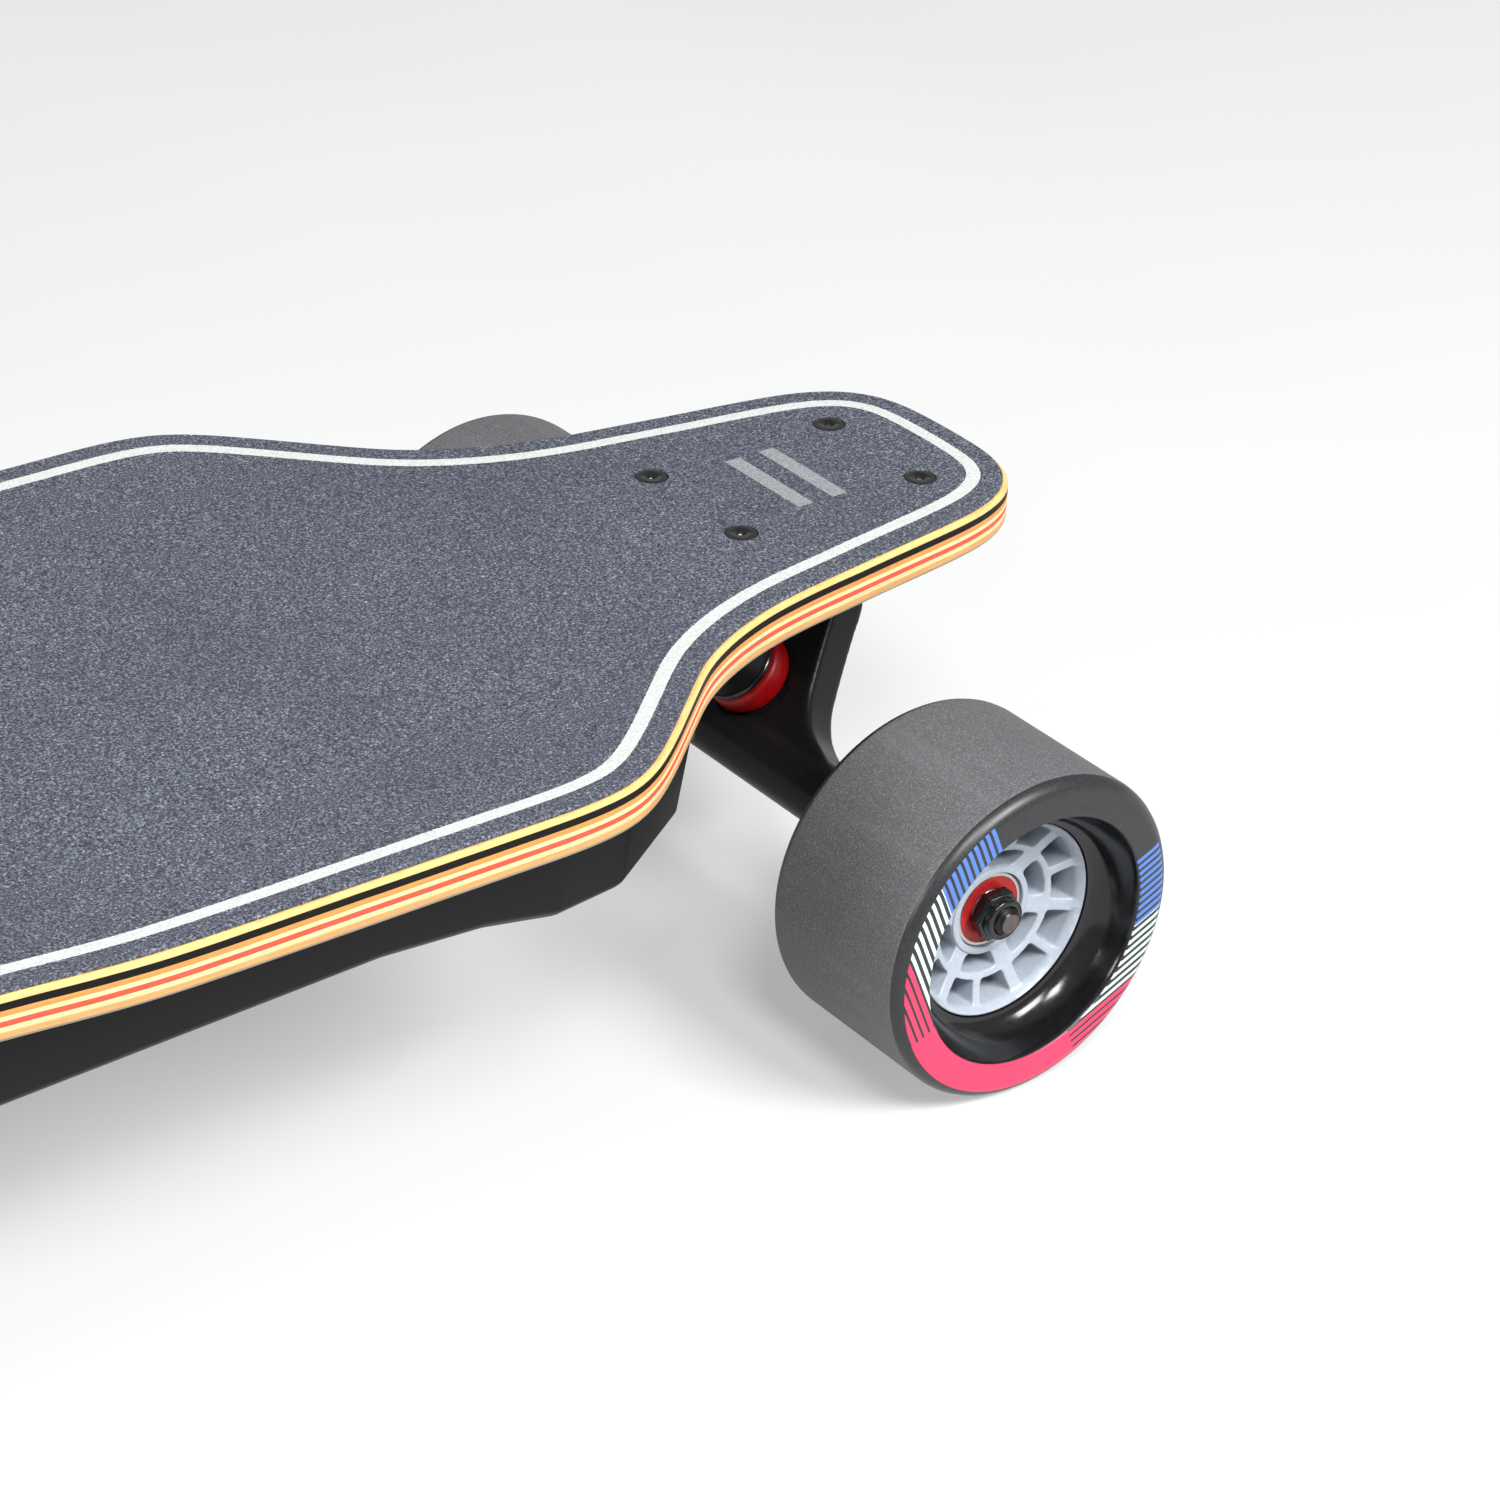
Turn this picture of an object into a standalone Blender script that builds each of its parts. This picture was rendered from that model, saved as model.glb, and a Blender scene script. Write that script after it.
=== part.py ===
"""Electric longboard skateboard, modelled as an assembly of separate named pieces.

Metres, +Z up, +X towards the nose, +Y to the rider's left. The origin is on the ground
under the middle of the deck. Both trucks are the same design, with the kingpin square to
the hanger's face: the rear one is the front one turned half round. The front wheels roll
on bearings and the rear wheels are hub motors.
"""
import math

import bmesh
import bpy
from mathutils import Matrix, Vector

# Driving dimensions
AXLE_TO_AXLE = 0.813
DECK_TOP = 0.1255
PLY_THICKNESS = 0.0109
GRIP_THICKNESS = 0.0008
WHEEL_RADIUS = 0.048
WHEEL_WIDTH = 0.055
WHEEL_OUTER_FACE = 0.134
GAP = 0.0003

# Deck: distance outboard of the axle and half width, from the nose to the middle
NOSE_OUTLINE = (
    (0.0760, 0.0060), (0.0726, 0.0280), (0.0630, 0.0396), (0.0420, 0.0472),
    (-0.0040, 0.0542), (-0.0500, 0.0650), (-0.0890, 0.0928), (-0.1200, 0.1158),
    (-0.1480, 0.1194), (-0.2450, 0.1184), (-0.3150, 0.1112), (-0.4065, 0.1085),
)
OUTLINE_STEPS = 2
DECK_COLUMNS = 2
FLAT_HALF_WIDTH = 0.045
CONCAVE_RISE = 0.0022
WIDEST_HALF_WIDTH = 0.119
GRIP_INSET = 0.0006

HALF_AXLES = AXLE_TO_AXLE / 2
AXLE_HEIGHT = WHEEL_RADIUS
PLY_TOP = DECK_TOP - GRIP_THICKNESS - GAP
PLY_BOTTOM = PLY_TOP - PLY_THICKNESS

# Mounting hardware, measured from the axle
BOLT_CENTRE = 0.0152
BOLT_SPACING_X = 0.0635
BOLT_SPACING_Y = 0.0413
PLATE_LENGTH = 0.086
PLATE_WIDTH = 0.058
PLATE_THICKNESS = 0.0055
RISER_THICKNESS = 0.0028
RISER_TOP = PLY_BOTTOM - GAP
PLATE_TOP = RISER_TOP - RISER_THICKNESS - GAP
PLATE_BOTTOM = PLATE_TOP - PLATE_THICKNESS
BOLT_HEAD_RADIUS = 0.0050
BOLT_HEAD_DEPTH = 0.0030
BOLT_RADIUS = 0.0024
BOLT_HOLE_RADIUS = 0.0028
BOLT_TOP = DECK_TOP - 0.0002
BOLT_END = PLATE_BOTTOM - 0.0060
BOLT_NUT_RADIUS = 0.0046
BOLT_NUT_HEIGHT = 0.0038
SOCKET_RADIUS = 0.0019

# Truck: "t" runs up the hanger's face from the axle, "n" is square to it, towards the deck
HANGER_ANGLE = math.radians(46)
KINGPIN_T = 0.0172
HOUSING_RADIUS = 0.0096
AXLE_RADIUS = 0.0040
AXLE_HALF_LENGTH = 0.1250
FRONT_HANGER_HALF = 0.0890
REAR_HANGER_HALF = 0.0780
ARM_OUTLINE = (
    (0.0000, 0.0520), (0.0060, 0.0450), (0.0096, 0.0380), (0.0116, 0.0327), (0.0140, 0.0284),
    (0.0174, 0.0247), (0.0211, 0.0217), (0.0261, 0.0191), (0.0324, 0.0160), (0.0380, 0.0135),
    (0.0440, 0.0109), (0.0500, 0.0094), (0.0530, 0.0078),
)
ARM_LOW = -0.0070
ARM_HIGH = 0.0064
KINGPIN_RADIUS = 0.00475
KINGPIN_HOLE_RADIUS = 0.0085
BUSHING_RADIUS = 0.0125
BUSHING_TIP_RADIUS = 0.0102
BOARDSIDE_TOP = 0.0150
ROADSIDE_END = -0.0155
WASHER_THICKNESS = 0.0020
WASHER_RADIUS = 0.0128
TIP_WASHER_RADIUS = 0.0108
POCKET_RADIUS = 0.0134
SEAT_N = BOARDSIDE_TOP + WASHER_THICKNESS + 2 * GAP
SEAT_RADIUS = 0.0130
SEAT_TOP = 0.0340
HEAD_LOW = 0.0260
HEAD_HIGH = 0.0310
HEAD_RADIUS = 0.0075
NUT_END = -0.0247
KINGPIN_END = -0.0268

# Pivot: its axis runs up the hanger's face, so these are distances from the axle
BALL_RADIUS = 0.0060
BALL_T = 0.0625
NECK_RADIUS = 0.0052
CUP_LOW = 0.0570
CUP_LIP = 0.0013
CUP_LIP_RADIUS = 0.0100
CUP_RADIUS = 0.0083
CUP_BORE_RADIUS = 0.0064
CUP_BORE_END = 0.0692
CUP_END = 0.0710
BOSS_RADIUS = 0.0110
BOSS_LOW = CUP_LOW + CUP_LIP + GAP
BOSS_END = 0.0725

# Wheels: distances out along the axle
TYRE_LIP = 0.0045
TYRE_SEGMENTS = 32
FACE_INNER_RADIUS = 0.0367
CORE_RADIUS = 0.0290
CORE_OUTER_FACE = 0.1210
CORE_INNER_FACE = 0.0920
BEARING_RADIUS = 0.0110
BEARING_WIDTH = 0.0070
INNER_BEARING = 0.0900
OUTER_BEARING = 0.1070
MOTOR_RADIUS = 0.0400

# Enclosure: distance inboard of the axle, half width, height of the underside
ENCLOSURE_STATIONS = (
    (0.0800, 0.0790, 0.0855), (0.1080, 0.0935, 0.0800), (0.1280, 0.0945, 0.0780),
    (0.1500, 0.0945, 0.0795), (0.1800, 0.0945, 0.0850), (0.3000, 0.0945, 0.0815),
    (0.4065, 0.0945, 0.0815),
)
ENCLOSURE_DRAFT = 0.0050
ENCLOSURE_WALL = 0.0025
ENCLOSURE_CHAMFER = 0.0030
GASKET_THICKNESS = 0.0015
GASKET_WIDTH = 0.0080
GASKET_TOP = PLY_BOTTOM - GAP
ENCLOSURE_TOP = GASKET_TOP - GASKET_THICKNESS - GAP
ENCLOSURE_END = HALF_AXLES - ENCLOSURE_STATIONS[0][0]

# Charge port and power button, on a flat boss on the left side
PORT_X = -0.245
BUTTON_X = -0.212
PORT_Z = 0.0975
BOSS_FACE = 0.1000
BOSS_CENTRE_X = -0.2300
BOSS_SIZE = (0.064, 0.012, 0.018)
PORT_RADIUS = 0.0080
PORT_FLANGE_RADIUS = 0.0095
PORT_FLANGE = 0.0013
PORT_BORE_RADIUS = 0.0050
CAP_RADIUS = 0.0075
CAP_HINGE_OFFSET = 0.0123
CAP_HINGE_Y = BOSS_FACE + 0.0029
BUTTON_RADIUS = 0.0060
GLAND_Y = 0.0350
GLAND_Z = 0.0980

for old in list(bpy.data.objects):
    bpy.data.objects.remove(old, do_unlink=True)

PARTS = bpy.data.collections.new("electric_skateboard")
CUTTERS = bpy.data.collections.new("cutters")
bpy.context.scene.collection.children.link(PARTS)
bpy.context.scene.collection.children.link(CUTTERS)


# Materials

def material(name, color, roughness, metallic=0.0):
    """Return a Principled material."""
    made = bpy.data.materials.new(name)
    made.use_nodes = True
    shader = made.node_tree.nodes["Principled BSDF"]
    shader.inputs["Base Color"].default_value = (*color, 1.0)
    shader.inputs["Roughness"].default_value = roughness
    shader.inputs["Metallic"].default_value = metallic
    return made


MAPLE = material("maple_ply", (0.72, 0.50, 0.28), 0.45)
GRIP = material("grip_tape", (0.045, 0.05, 0.07), 0.95)
CHARCOAL = material("charcoal_plastic", (0.03, 0.031, 0.034), 0.45)
SEAL = material("seal_rubber", (0.015, 0.015, 0.015), 0.8)
CELL_WRAP = material("cell_wrap", (0.05, 0.12, 0.35), 0.4)
HEAT_SINK = material("controller_alloy", (0.35, 0.35, 0.37), 0.4, 0.9)
SATIN_BLACK = material("satin_black_alloy", (0.02, 0.02, 0.022), 0.35, 0.3)
BLACK_STEEL = material("black_steel", (0.02, 0.02, 0.02), 0.3, 0.8)
BRIGHT_STEEL = material("bright_steel", (0.6, 0.6, 0.6), 0.25, 1.0)
AXLE_STEEL = material("axle_steel", (0.45, 0.38, 0.3), 0.3, 1.0)
RED_URETHANE = material("red_urethane", (0.6, 0.02, 0.03), 0.35)
TREAD = material("tread_urethane", (0.035, 0.035, 0.038), 0.6)
CORE_GREY = material("core_grey", (0.3, 0.32, 0.36), 0.4)
COPPER = material("copper_winding", (0.6, 0.3, 0.15), 0.35, 0.9)


# Modelling helpers

def put(obj, finish=None, smooth=None):
    """Add an object to the parts, with its finish and smooth shading."""
    PARTS.objects.link(obj)
    if finish is not None:
        obj.data.materials.clear()
        obj.data.materials.append(finish)
    if smooth is not None:
        obj.data.shade_smooth()
        obj.data.set_sharp_from_angle(angle=math.radians(smooth))
    return obj


def from_bmesh(name, bm, place=Matrix()):
    """Turn a bmesh into an object that belongs to no collection yet."""
    mesh = bpy.data.meshes.new(name)
    bm.to_mesh(mesh)
    bm.free()
    obj = bpy.data.objects.new(name, mesh)
    obj.matrix_world = place
    return obj


def baked(obj):
    """Return a new mesh holding an object's shape after its modifiers."""
    linked = not obj.users_collection
    if linked:
        PARTS.objects.link(obj)
    bpy.context.view_layer.update()
    graph = bpy.context.evaluated_depsgraph_get()
    mesh = bpy.data.meshes.new_from_object(obj.evaluated_get(graph))
    if linked:
        PARTS.objects.unlink(obj)
    return mesh


def turned(name, profile, place=Matrix(), segments=32, ring=False):
    """Turn a profile of (radius, height) points about the local Z axis.

    The points run down the outer side. A ring's profile closes on itself, and any other
    profile starts and ends on the axis.
    """
    bm = bmesh.new()
    points = [bm.verts.new((radius, 0.0, height)) for radius, height in profile]
    for start, end in zip(points, points[1:]):
        bm.edges.new((start, end))
    if ring:
        bm.edges.new((points[-1], points[0]))
    obj = from_bmesh(name, bm, place)
    screw = obj.modifiers.new("turn", "SCREW")
    screw.steps = segments
    screw.render_steps = segments
    screw.use_merge_vertices = True
    screw.merge_threshold = 0.00001
    return obj


def cylinder(name, radius, low, high, place=Matrix(), segments=32):
    """Make a solid cylinder from one height to another on the local Z axis."""
    bm = bmesh.new()
    bmesh.ops.create_cone(bm, cap_ends=True, segments=segments, radius1=radius,
                          radius2=radius, depth=high - low)
    bmesh.ops.translate(bm, vec=(0.0, 0.0, (low + high) / 2), verts=bm.verts)
    return from_bmesh(name, bm, place)


def block(name, low, high, place=Matrix(), bevel=0.0, upright_only=False):
    """Make a box between two corners, with rounded edges if a bevel is given."""
    size = Vector(high) - Vector(low)
    middle = (Vector(high) + Vector(low)) / 2
    bm = bmesh.new()
    bmesh.ops.create_cube(bm, size=1.0)
    bmesh.ops.scale(bm, vec=size, verts=bm.verts)
    bmesh.ops.translate(bm, vec=middle, verts=bm.verts)
    if bevel:
        edges = [edge for edge in bm.edges
                 if not upright_only or is_upright(edge)]
        bmesh.ops.bevel(bm, geom=edges, offset=bevel, segments=3, profile=0.5,
                        affect="EDGES")
    return from_bmesh(name, bm, place)


def is_upright(edge):
    """Say whether an edge runs along the local Z axis."""
    direction = (edge.verts[1].co - edge.verts[0].co).normalized()
    return abs(direction.z) > 0.99


def extruded(name, outline, low, high, place=Matrix()):
    """Extrude a flat outline of (x, y) points along the local Z axis."""
    curve = bpy.data.curves.new(name, "CURVE")
    curve.dimensions = "2D"
    curve.fill_mode = "BOTH"
    curve.extrude = (high - low) / 2
    spline = curve.splines.new("POLY")
    spline.points.add(len(outline) - 1)
    for point, (x, y) in zip(spline.points, outline):
        point.co = (x, y, 0.0, 1.0)
    spline.use_cyclic_u = True
    flat = bpy.data.objects.new(name, curve)
    mesh = baked(flat)
    bpy.data.objects.remove(flat)
    bm = bmesh.new()
    bm.from_mesh(mesh)
    bmesh.ops.remove_doubles(bm, verts=bm.verts, dist=0.00001)
    bmesh.ops.translate(bm, vec=(0.0, 0.0, (low + high) / 2), verts=bm.verts)
    return from_bmesh(name, bm, place)


def loft(name, sections):
    """Skin a row of closed sections that all have the same number of points."""
    bm = bmesh.new()
    rings = [[bm.verts.new(point) for point in section] for section in sections]
    count = len(rings[0])
    for ring, following in zip(rings, rings[1:]):
        for index in range(count):
            after = (index + 1) % count
            bm.faces.new((ring[index], ring[after], following[after], following[index]))
    bm.faces.new(list(reversed(rings[0])))
    bm.faces.new(rings[-1])
    bmesh.ops.recalc_face_normals(bm, faces=bm.faces)
    return from_bmesh(name, bm)


def boolean(target, other, operation):
    """Cut or join a piece with another, which becomes a hidden guide."""
    if not other.users_collection:
        CUTTERS.objects.link(other)
    other.hide_render = True
    other.display_type = "WIRE"
    modifier = target.modifiers.new(other.name, "BOOLEAN")
    modifier.operation = operation
    modifier.solver = "EXACT"
    modifier.object = other


def cut(target, *others):
    """Cut pieces away from a target."""
    for other in others:
        boolean(target, other, "DIFFERENCE")
    return target


def join(target, *others):
    """Join pieces to a target as one solid."""
    for other in others:
        boolean(target, other, "UNION")
    return target


# Frames of reference

def truck_frame(end):
    """Return the frame of a truck: 1 is the front, -1 the rear, turned half round."""
    turn = Matrix.Rotation(0.0 if end > 0 else math.pi, 4, "Z")
    return Matrix.Translation((end * HALF_AXLES, 0.0, AXLE_HEIGHT)) @ turn


def kingpin_frame(end, t):
    """Return a frame on the hanger's face, with +Z along the kingpin to the deck."""
    tilt = Matrix.Rotation(-HANGER_ANGLE, 4, "Y")
    return truck_frame(end) @ tilt @ Matrix.Translation((t, 0.0, 0.0))


def pivot_frame(end):
    """Return the frame of the pivot, with +Z from the axle up the hanger's face."""
    return kingpin_frame(end, 0.0) @ Matrix.Rotation(math.pi / 2, 4, "Y")


def wheel_frame(end, side):
    """Return the frame of a wheel, with +Z outwards along the axle."""
    turn = Matrix.Rotation(-side * math.pi / 2, 4, "X")
    return Matrix.Translation((end * HALF_AXLES, 0.0, AXLE_HEIGHT)) @ turn


ENDS = (("front", 1), ("rear", -1))
SIDES = (("left", 1), ("right", -1))


# Deck, grip and enclosure

def rise(y):
    """Return how far the concave lifts the deck at a distance from its middle."""
    reach = max(0.0, abs(y) - FLAT_HALF_WIDTH)
    return CONCAVE_RISE * (reach / (WIDEST_HALF_WIDTH - FLAT_HALF_WIDTH)) ** 2


def smooth_points(points, steps):
    """Run a Catmull-Rom curve through points and return it as a denser list."""
    padded = [points[0], *points, points[-1]]
    dense = []
    for a, b, c, d in zip(padded, padded[1:], padded[2:], padded[3:]):
        for step in range(steps):
            u = step / steps
            dense.append(tuple(
                0.5 * (2 * q + (r - p) * u + (2 * p - 5 * q + 4 * r - s) * u * u
                       + (3 * q - p - 3 * r + s) * u ** 3)
                for p, q, r, s in zip(a, b, c, d)))
    dense.append(points[-1])
    return dense


def deck_stations(inset):
    """Return (x, half width) along the whole deck, drawn in from its edge by an inset."""
    near = smooth_points(NOSE_OUTLINE, OUTLINE_STEPS)
    half = []
    for index, (x, width) in enumerate(near):
        before = near[max(index - 1, 0)]
        after = near[min(index + 1, len(near) - 1)]
        along = Vector((after[0] - before[0], after[1] - before[1])).normalized()
        half.append((HALF_AXLES + x + along.y * -inset, width + along.x * inset))
    return half + [(-x, width) for x, width in reversed(half[:-1])]


def slab(name, stations, low, high, columns):
    """Make a thin slab that follows the deck's concave between two heights."""
    sections = []
    for x, width in stations:
        across = [width * index / columns for index in range(-columns, columns + 1)]
        upper = [(x, y, high + rise(y)) for y in across]
        lower = [(x, y, low + rise(y)) for y in reversed(across)]
        sections.append(upper + lower)
    return loft(name, sections)


def bolt_places():
    """Return the place of each deck bolt as (name, x, y)."""
    places = []
    for end_name, end in ENDS:
        for row_name, row in (("outer", 1), ("inner", -1)):
            for side_name, side in SIDES:
                x = end * (HALF_AXLES + BOLT_CENTRE + row * BOLT_SPACING_X / 2)
                y = side * BOLT_SPACING_Y / 2
                places.append((f"{end_name}_{row_name}_{side_name}_bolt", x, y))
    return places


def bolt_cutter(name, profile):
    """Return one cutter with a turned hole at each deck bolt."""
    hole = turned(name + "_one", profile, segments=10)
    mesh = baked(hole)
    bpy.data.objects.remove(hole)
    bm = bmesh.new()
    for _, x, y in bolt_places():
        start = len(bm.verts)
        bm.from_mesh(mesh)
        bm.verts.ensure_lookup_table()
        bmesh.ops.translate(bm, vec=(x, y, 0.0), verts=bm.verts[start:])
    return from_bmesh(name, bm)


def make_deck():
    """Make the ply deck and its grip tape, both cut for countersunk bolts."""
    head = BOLT_HEAD_RADIUS + 0.0004
    shoulder = BOLT_TOP - BOLT_HEAD_DEPTH - 0.0005
    countersink = ((0.0, DECK_TOP + 0.01), (head, DECK_TOP + 0.01), (head, BOLT_TOP),
                   (BOLT_HOLE_RADIUS, shoulder), (BOLT_HOLE_RADIUS, PLY_BOTTOM - 0.01),
                   (0.0, PLY_BOTTOM - 0.01))
    deck = slab("deck", deck_stations(0.0), PLY_BOTTOM, PLY_TOP, DECK_COLUMNS)
    cut(deck, bolt_cutter("deck_holes", countersink))
    put(deck, MAPLE, 30)
    grip = slab("grip_tape", deck_stations(GRIP_INSET), PLY_TOP + GAP, DECK_TOP,
                DECK_COLUMNS)
    straight = ((0.0, DECK_TOP + 0.01), (head, DECK_TOP + 0.01),
                (head, PLY_TOP - 0.01), (0.0, PLY_TOP - 0.01))
    cut(grip, bolt_cutter("grip_holes", straight))
    put(grip, GRIP, 30)


def enclosure_sections(inset, top):
    """Return the sections of the enclosure, shrunk by an inset on every wall."""
    sections = []
    places = []
    for back, half_width, bottom in ENCLOSURE_STATIONS:
        x = HALF_AXLES - back
        if back == ENCLOSURE_STATIONS[0][0]:
            x -= inset
        places.append((x, half_width - inset, bottom + inset))
    places += [(-x, half_width, bottom) for x, half_width, bottom in reversed(places[:-1])]
    for x, half_width, bottom in places:
        wide = half_width + ENCLOSURE_DRAFT
        low = half_width - ENCLOSURE_CHAMFER
        right = [(x, low, bottom), (x, half_width, bottom + ENCLOSURE_CHAMFER),
                 (x, wide, top + rise(wide)), (x, FLAT_HALF_WIDTH, top)]
        left = [(x, -y, z) for _, y, z in reversed(right)]
        sections.append(right + left)
    return sections


def make_enclosure():
    """Make the moulded tray under the deck, with its gasket and its port boss."""
    shell = loft("enclosure_shell", enclosure_sections(0.0, ENCLOSURE_TOP))
    hollow = loft("enclosure_hollow", enclosure_sections(ENCLOSURE_WALL, PLY_TOP))
    cut(shell, hollow)
    length, depth, height = BOSS_SIZE
    boss = block("port_boss", (BOSS_CENTRE_X - length / 2, BOSS_FACE - depth,
                               PORT_Z - height / 2),
                 (BOSS_CENTRE_X + length / 2, BOSS_FACE, PORT_Z + height / 2))
    join(shell, boss)
    outward = Matrix.Rotation(-math.pi / 2, 4, "X")
    port_hole = cylinder("port_hole", PORT_RADIUS + GAP, 0.08, 0.11,
                         Matrix.Translation((PORT_X, 0.0, PORT_Z)) @ outward, 20)
    button_hole = cylinder("button_hole", BUTTON_RADIUS + 2 * GAP, 0.08, 0.11,
                           Matrix.Translation((BUTTON_X, 0.0, PORT_Z)) @ outward, 24)
    cut(shell, port_hole, button_hole)
    for name, side in SIDES:
        cut(shell, cylinder(f"{name}_gland_hole", 0.0050, -0.01, 0.02,
                            gland_frame(side), 16))
    put(shell, CHARCOAL, 30)

    rim = [(x, half_width + ENCLOSURE_DRAFT + 0.001)
           for x, half_width in rim_stations(0.0)]
    inner_rim = [(x, half_width + ENCLOSURE_DRAFT - GASKET_WIDTH)
                 for x, half_width in rim_stations(GASKET_WIDTH)]
    gasket = slab("enclosure_gasket", rim, GASKET_TOP - GASKET_THICKNESS, GASKET_TOP, 3)
    cut(gasket, slab("gasket_opening", inner_rim, GASKET_TOP - 0.01, GASKET_TOP + 0.01, 3))
    put(gasket, SEAL, 30)


def rim_stations(shorten):
    """Return (x, half width) along the enclosure's rim, shortened at each end."""
    half = [(HALF_AXLES - back, width) for back, width, _ in ENCLOSURE_STATIONS]
    half[0] = (half[0][0] - shorten, half[0][1])
    return half + [(-x, width) for x, width in reversed(half[:-1])]


def make_electronics():
    """Make the battery pack and the speed controller that the enclosure holds."""
    battery = block("battery_pack", (-0.150, -0.072, 0.0895), (0.225, 0.072, 0.1095),
                    bevel=0.003)
    put(battery, CELL_WRAP, 30)
    controller = block("speed_controller", (-0.300, -0.045, 0.0895),
                       (-0.180, 0.045, 0.0990))
    for index in range(5):
        x = -0.292 + index * 0.026
        fin = block(f"controller_fin_{index}", (x, -0.045, 0.0980), (x + 0.008, 0.045, 0.106))
        join(controller, fin)
    put(controller, HEAT_SINK, 30)


def gland_frame(side):
    """Return the frame of a motor lead gland, +Z out of the enclosure's rear face."""
    turn = Matrix.Rotation(-math.pi / 2, 4, "Y")
    return Matrix.Translation((-ENCLOSURE_END, side * GLAND_Y, GLAND_Z)) @ turn


def make_ports():
    """Make the charge port, its hinged cap, the power button and the lead glands."""
    outward = Matrix.Rotation(-math.pi / 2, 4, "X")
    at_port = Matrix.Translation((PORT_X, 0.0, PORT_Z)) @ outward
    face = BOSS_FACE + GAP
    rim = face + PORT_FLANGE
    port = turned("charge_port", (
        (0.0, 0.0890), (PORT_BORE_RADIUS, 0.0890), (PORT_BORE_RADIUS, rim),
        (PORT_FLANGE_RADIUS, rim), (PORT_FLANGE_RADIUS, face),
        (PORT_RADIUS, face), (PORT_RADIUS, 0.0865), (0.0, 0.0865)), at_port, 16)
    hinge_x = PORT_X - CAP_HINGE_OFFSET
    for name, up in (("upper", 1), ("lower", -1)):
        near, far = sorted((PORT_Z + up * 0.0043, PORT_Z + up * 0.0063))
        join(port, block(f"{name}_cap_lug", (hinge_x - 0.0018, face, near),
                         (PORT_X - 0.0066, CAP_HINGE_Y + 0.0018, far)))
    at_hinge = Matrix.Translation((hinge_x, CAP_HINGE_Y, PORT_Z))
    join(port, cylinder("cap_pin", 0.0009, -0.0055, 0.0055, at_hinge, 12))
    put(port, SEAL, 30)

    cap_low = rim + GAP
    cap_high = cap_low + 0.0020
    plug = 0.0039
    cap = turned("charge_port_cap", (
        (0.0, cap_high), (CAP_RADIUS - 0.0005, cap_high), (CAP_RADIUS, cap_high - 0.0005),
        (CAP_RADIUS, cap_low), (plug, cap_low), (plug, cap_low - 0.0022),
        (0.0, cap_low - 0.0022)), at_port, 16)
    join(cap, block("cap_tab", (hinge_x + 0.0005, cap_low + 0.0002, PORT_Z - 0.003),
                    (PORT_X - 0.0055, cap_high - 0.0002, PORT_Z + 0.003)))
    join(cap, cylinder("cap_barrel", 0.0018, -0.0040, 0.0040, at_hinge, 16))
    cut(cap, cylinder("cap_barrel_hole", 0.0012, -0.0060, 0.0060, at_hinge, 12))
    put(cap, SEAL, 30)

    at_button = Matrix.Translation((BUTTON_X, 0.0, PORT_Z)) @ outward
    top = BOSS_FACE + 0.0018
    button = turned("power_button", (
        (0.0, top - 0.0004), (0.0030, top), (BUTTON_RADIUS - 0.0006, top),
        (BUTTON_RADIUS, top - 0.0006), (BUTTON_RADIUS, 0.0900), (0.0, 0.0900)), at_button, 20)
    put(button, BLACK_STEEL, 30)

    for name, side in SIDES:
        gland = turned(f"{name}_motor_gland", (
            (0.0048, 0.0090), (0.0060, 0.0080), (0.0068, 0.0045), (0.0068, GAP),
            (0.0047, GAP), (0.0047, -0.0060), (0.0024, -0.0060), (0.0024, 0.0090)),
            gland_frame(side), 12, ring=True)
        put(gland, SEAL, 30)


# Trucks

def make_hanger(name, end, half_width):
    """Make a hanger: axle housing, tapered arm and pivot ball in one casting."""
    face = kingpin_frame(end, 0.0)
    across = wheel_frame(end, 1)
    kingpin = kingpin_frame(end, KINGPIN_T)
    pivot = pivot_frame(end)
    outline = [(t, -y) for t, y in ARM_OUTLINE] + [(t, y) for t, y in reversed(ARM_OUTLINE)]
    hanger = cylinder(f"{name}_hanger", HOUSING_RADIUS, -half_width, half_width, across, 20)
    join(hanger, extruded(f"{name}_arm", outline, ARM_LOW, ARM_HIGH, face))
    cut(hanger,
        cylinder(f"{name}_boardside_pocket", POCKET_RADIUS, ARM_HIGH, 0.03, kingpin, 20),
        cylinder(f"{name}_roadside_pocket", POCKET_RADIUS, -0.03, ARM_LOW, kingpin, 20),
        cylinder(f"{name}_kingpin_hole", KINGPIN_HOLE_RADIUS, -0.02, 0.02, kingpin, 20))
    ball = turned(f"{name}_pivot_ball", [
        (BALL_RADIUS * math.sin(angle), BALL_T + BALL_RADIUS * math.cos(angle))
        for angle in (math.radians(step * 30) for step in range(0, 7))], pivot, 12)
    join(hanger, cylinder(f"{name}_neck", NECK_RADIUS, 0.0400, BALL_T, pivot, 12), ball)
    return hanger


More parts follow.
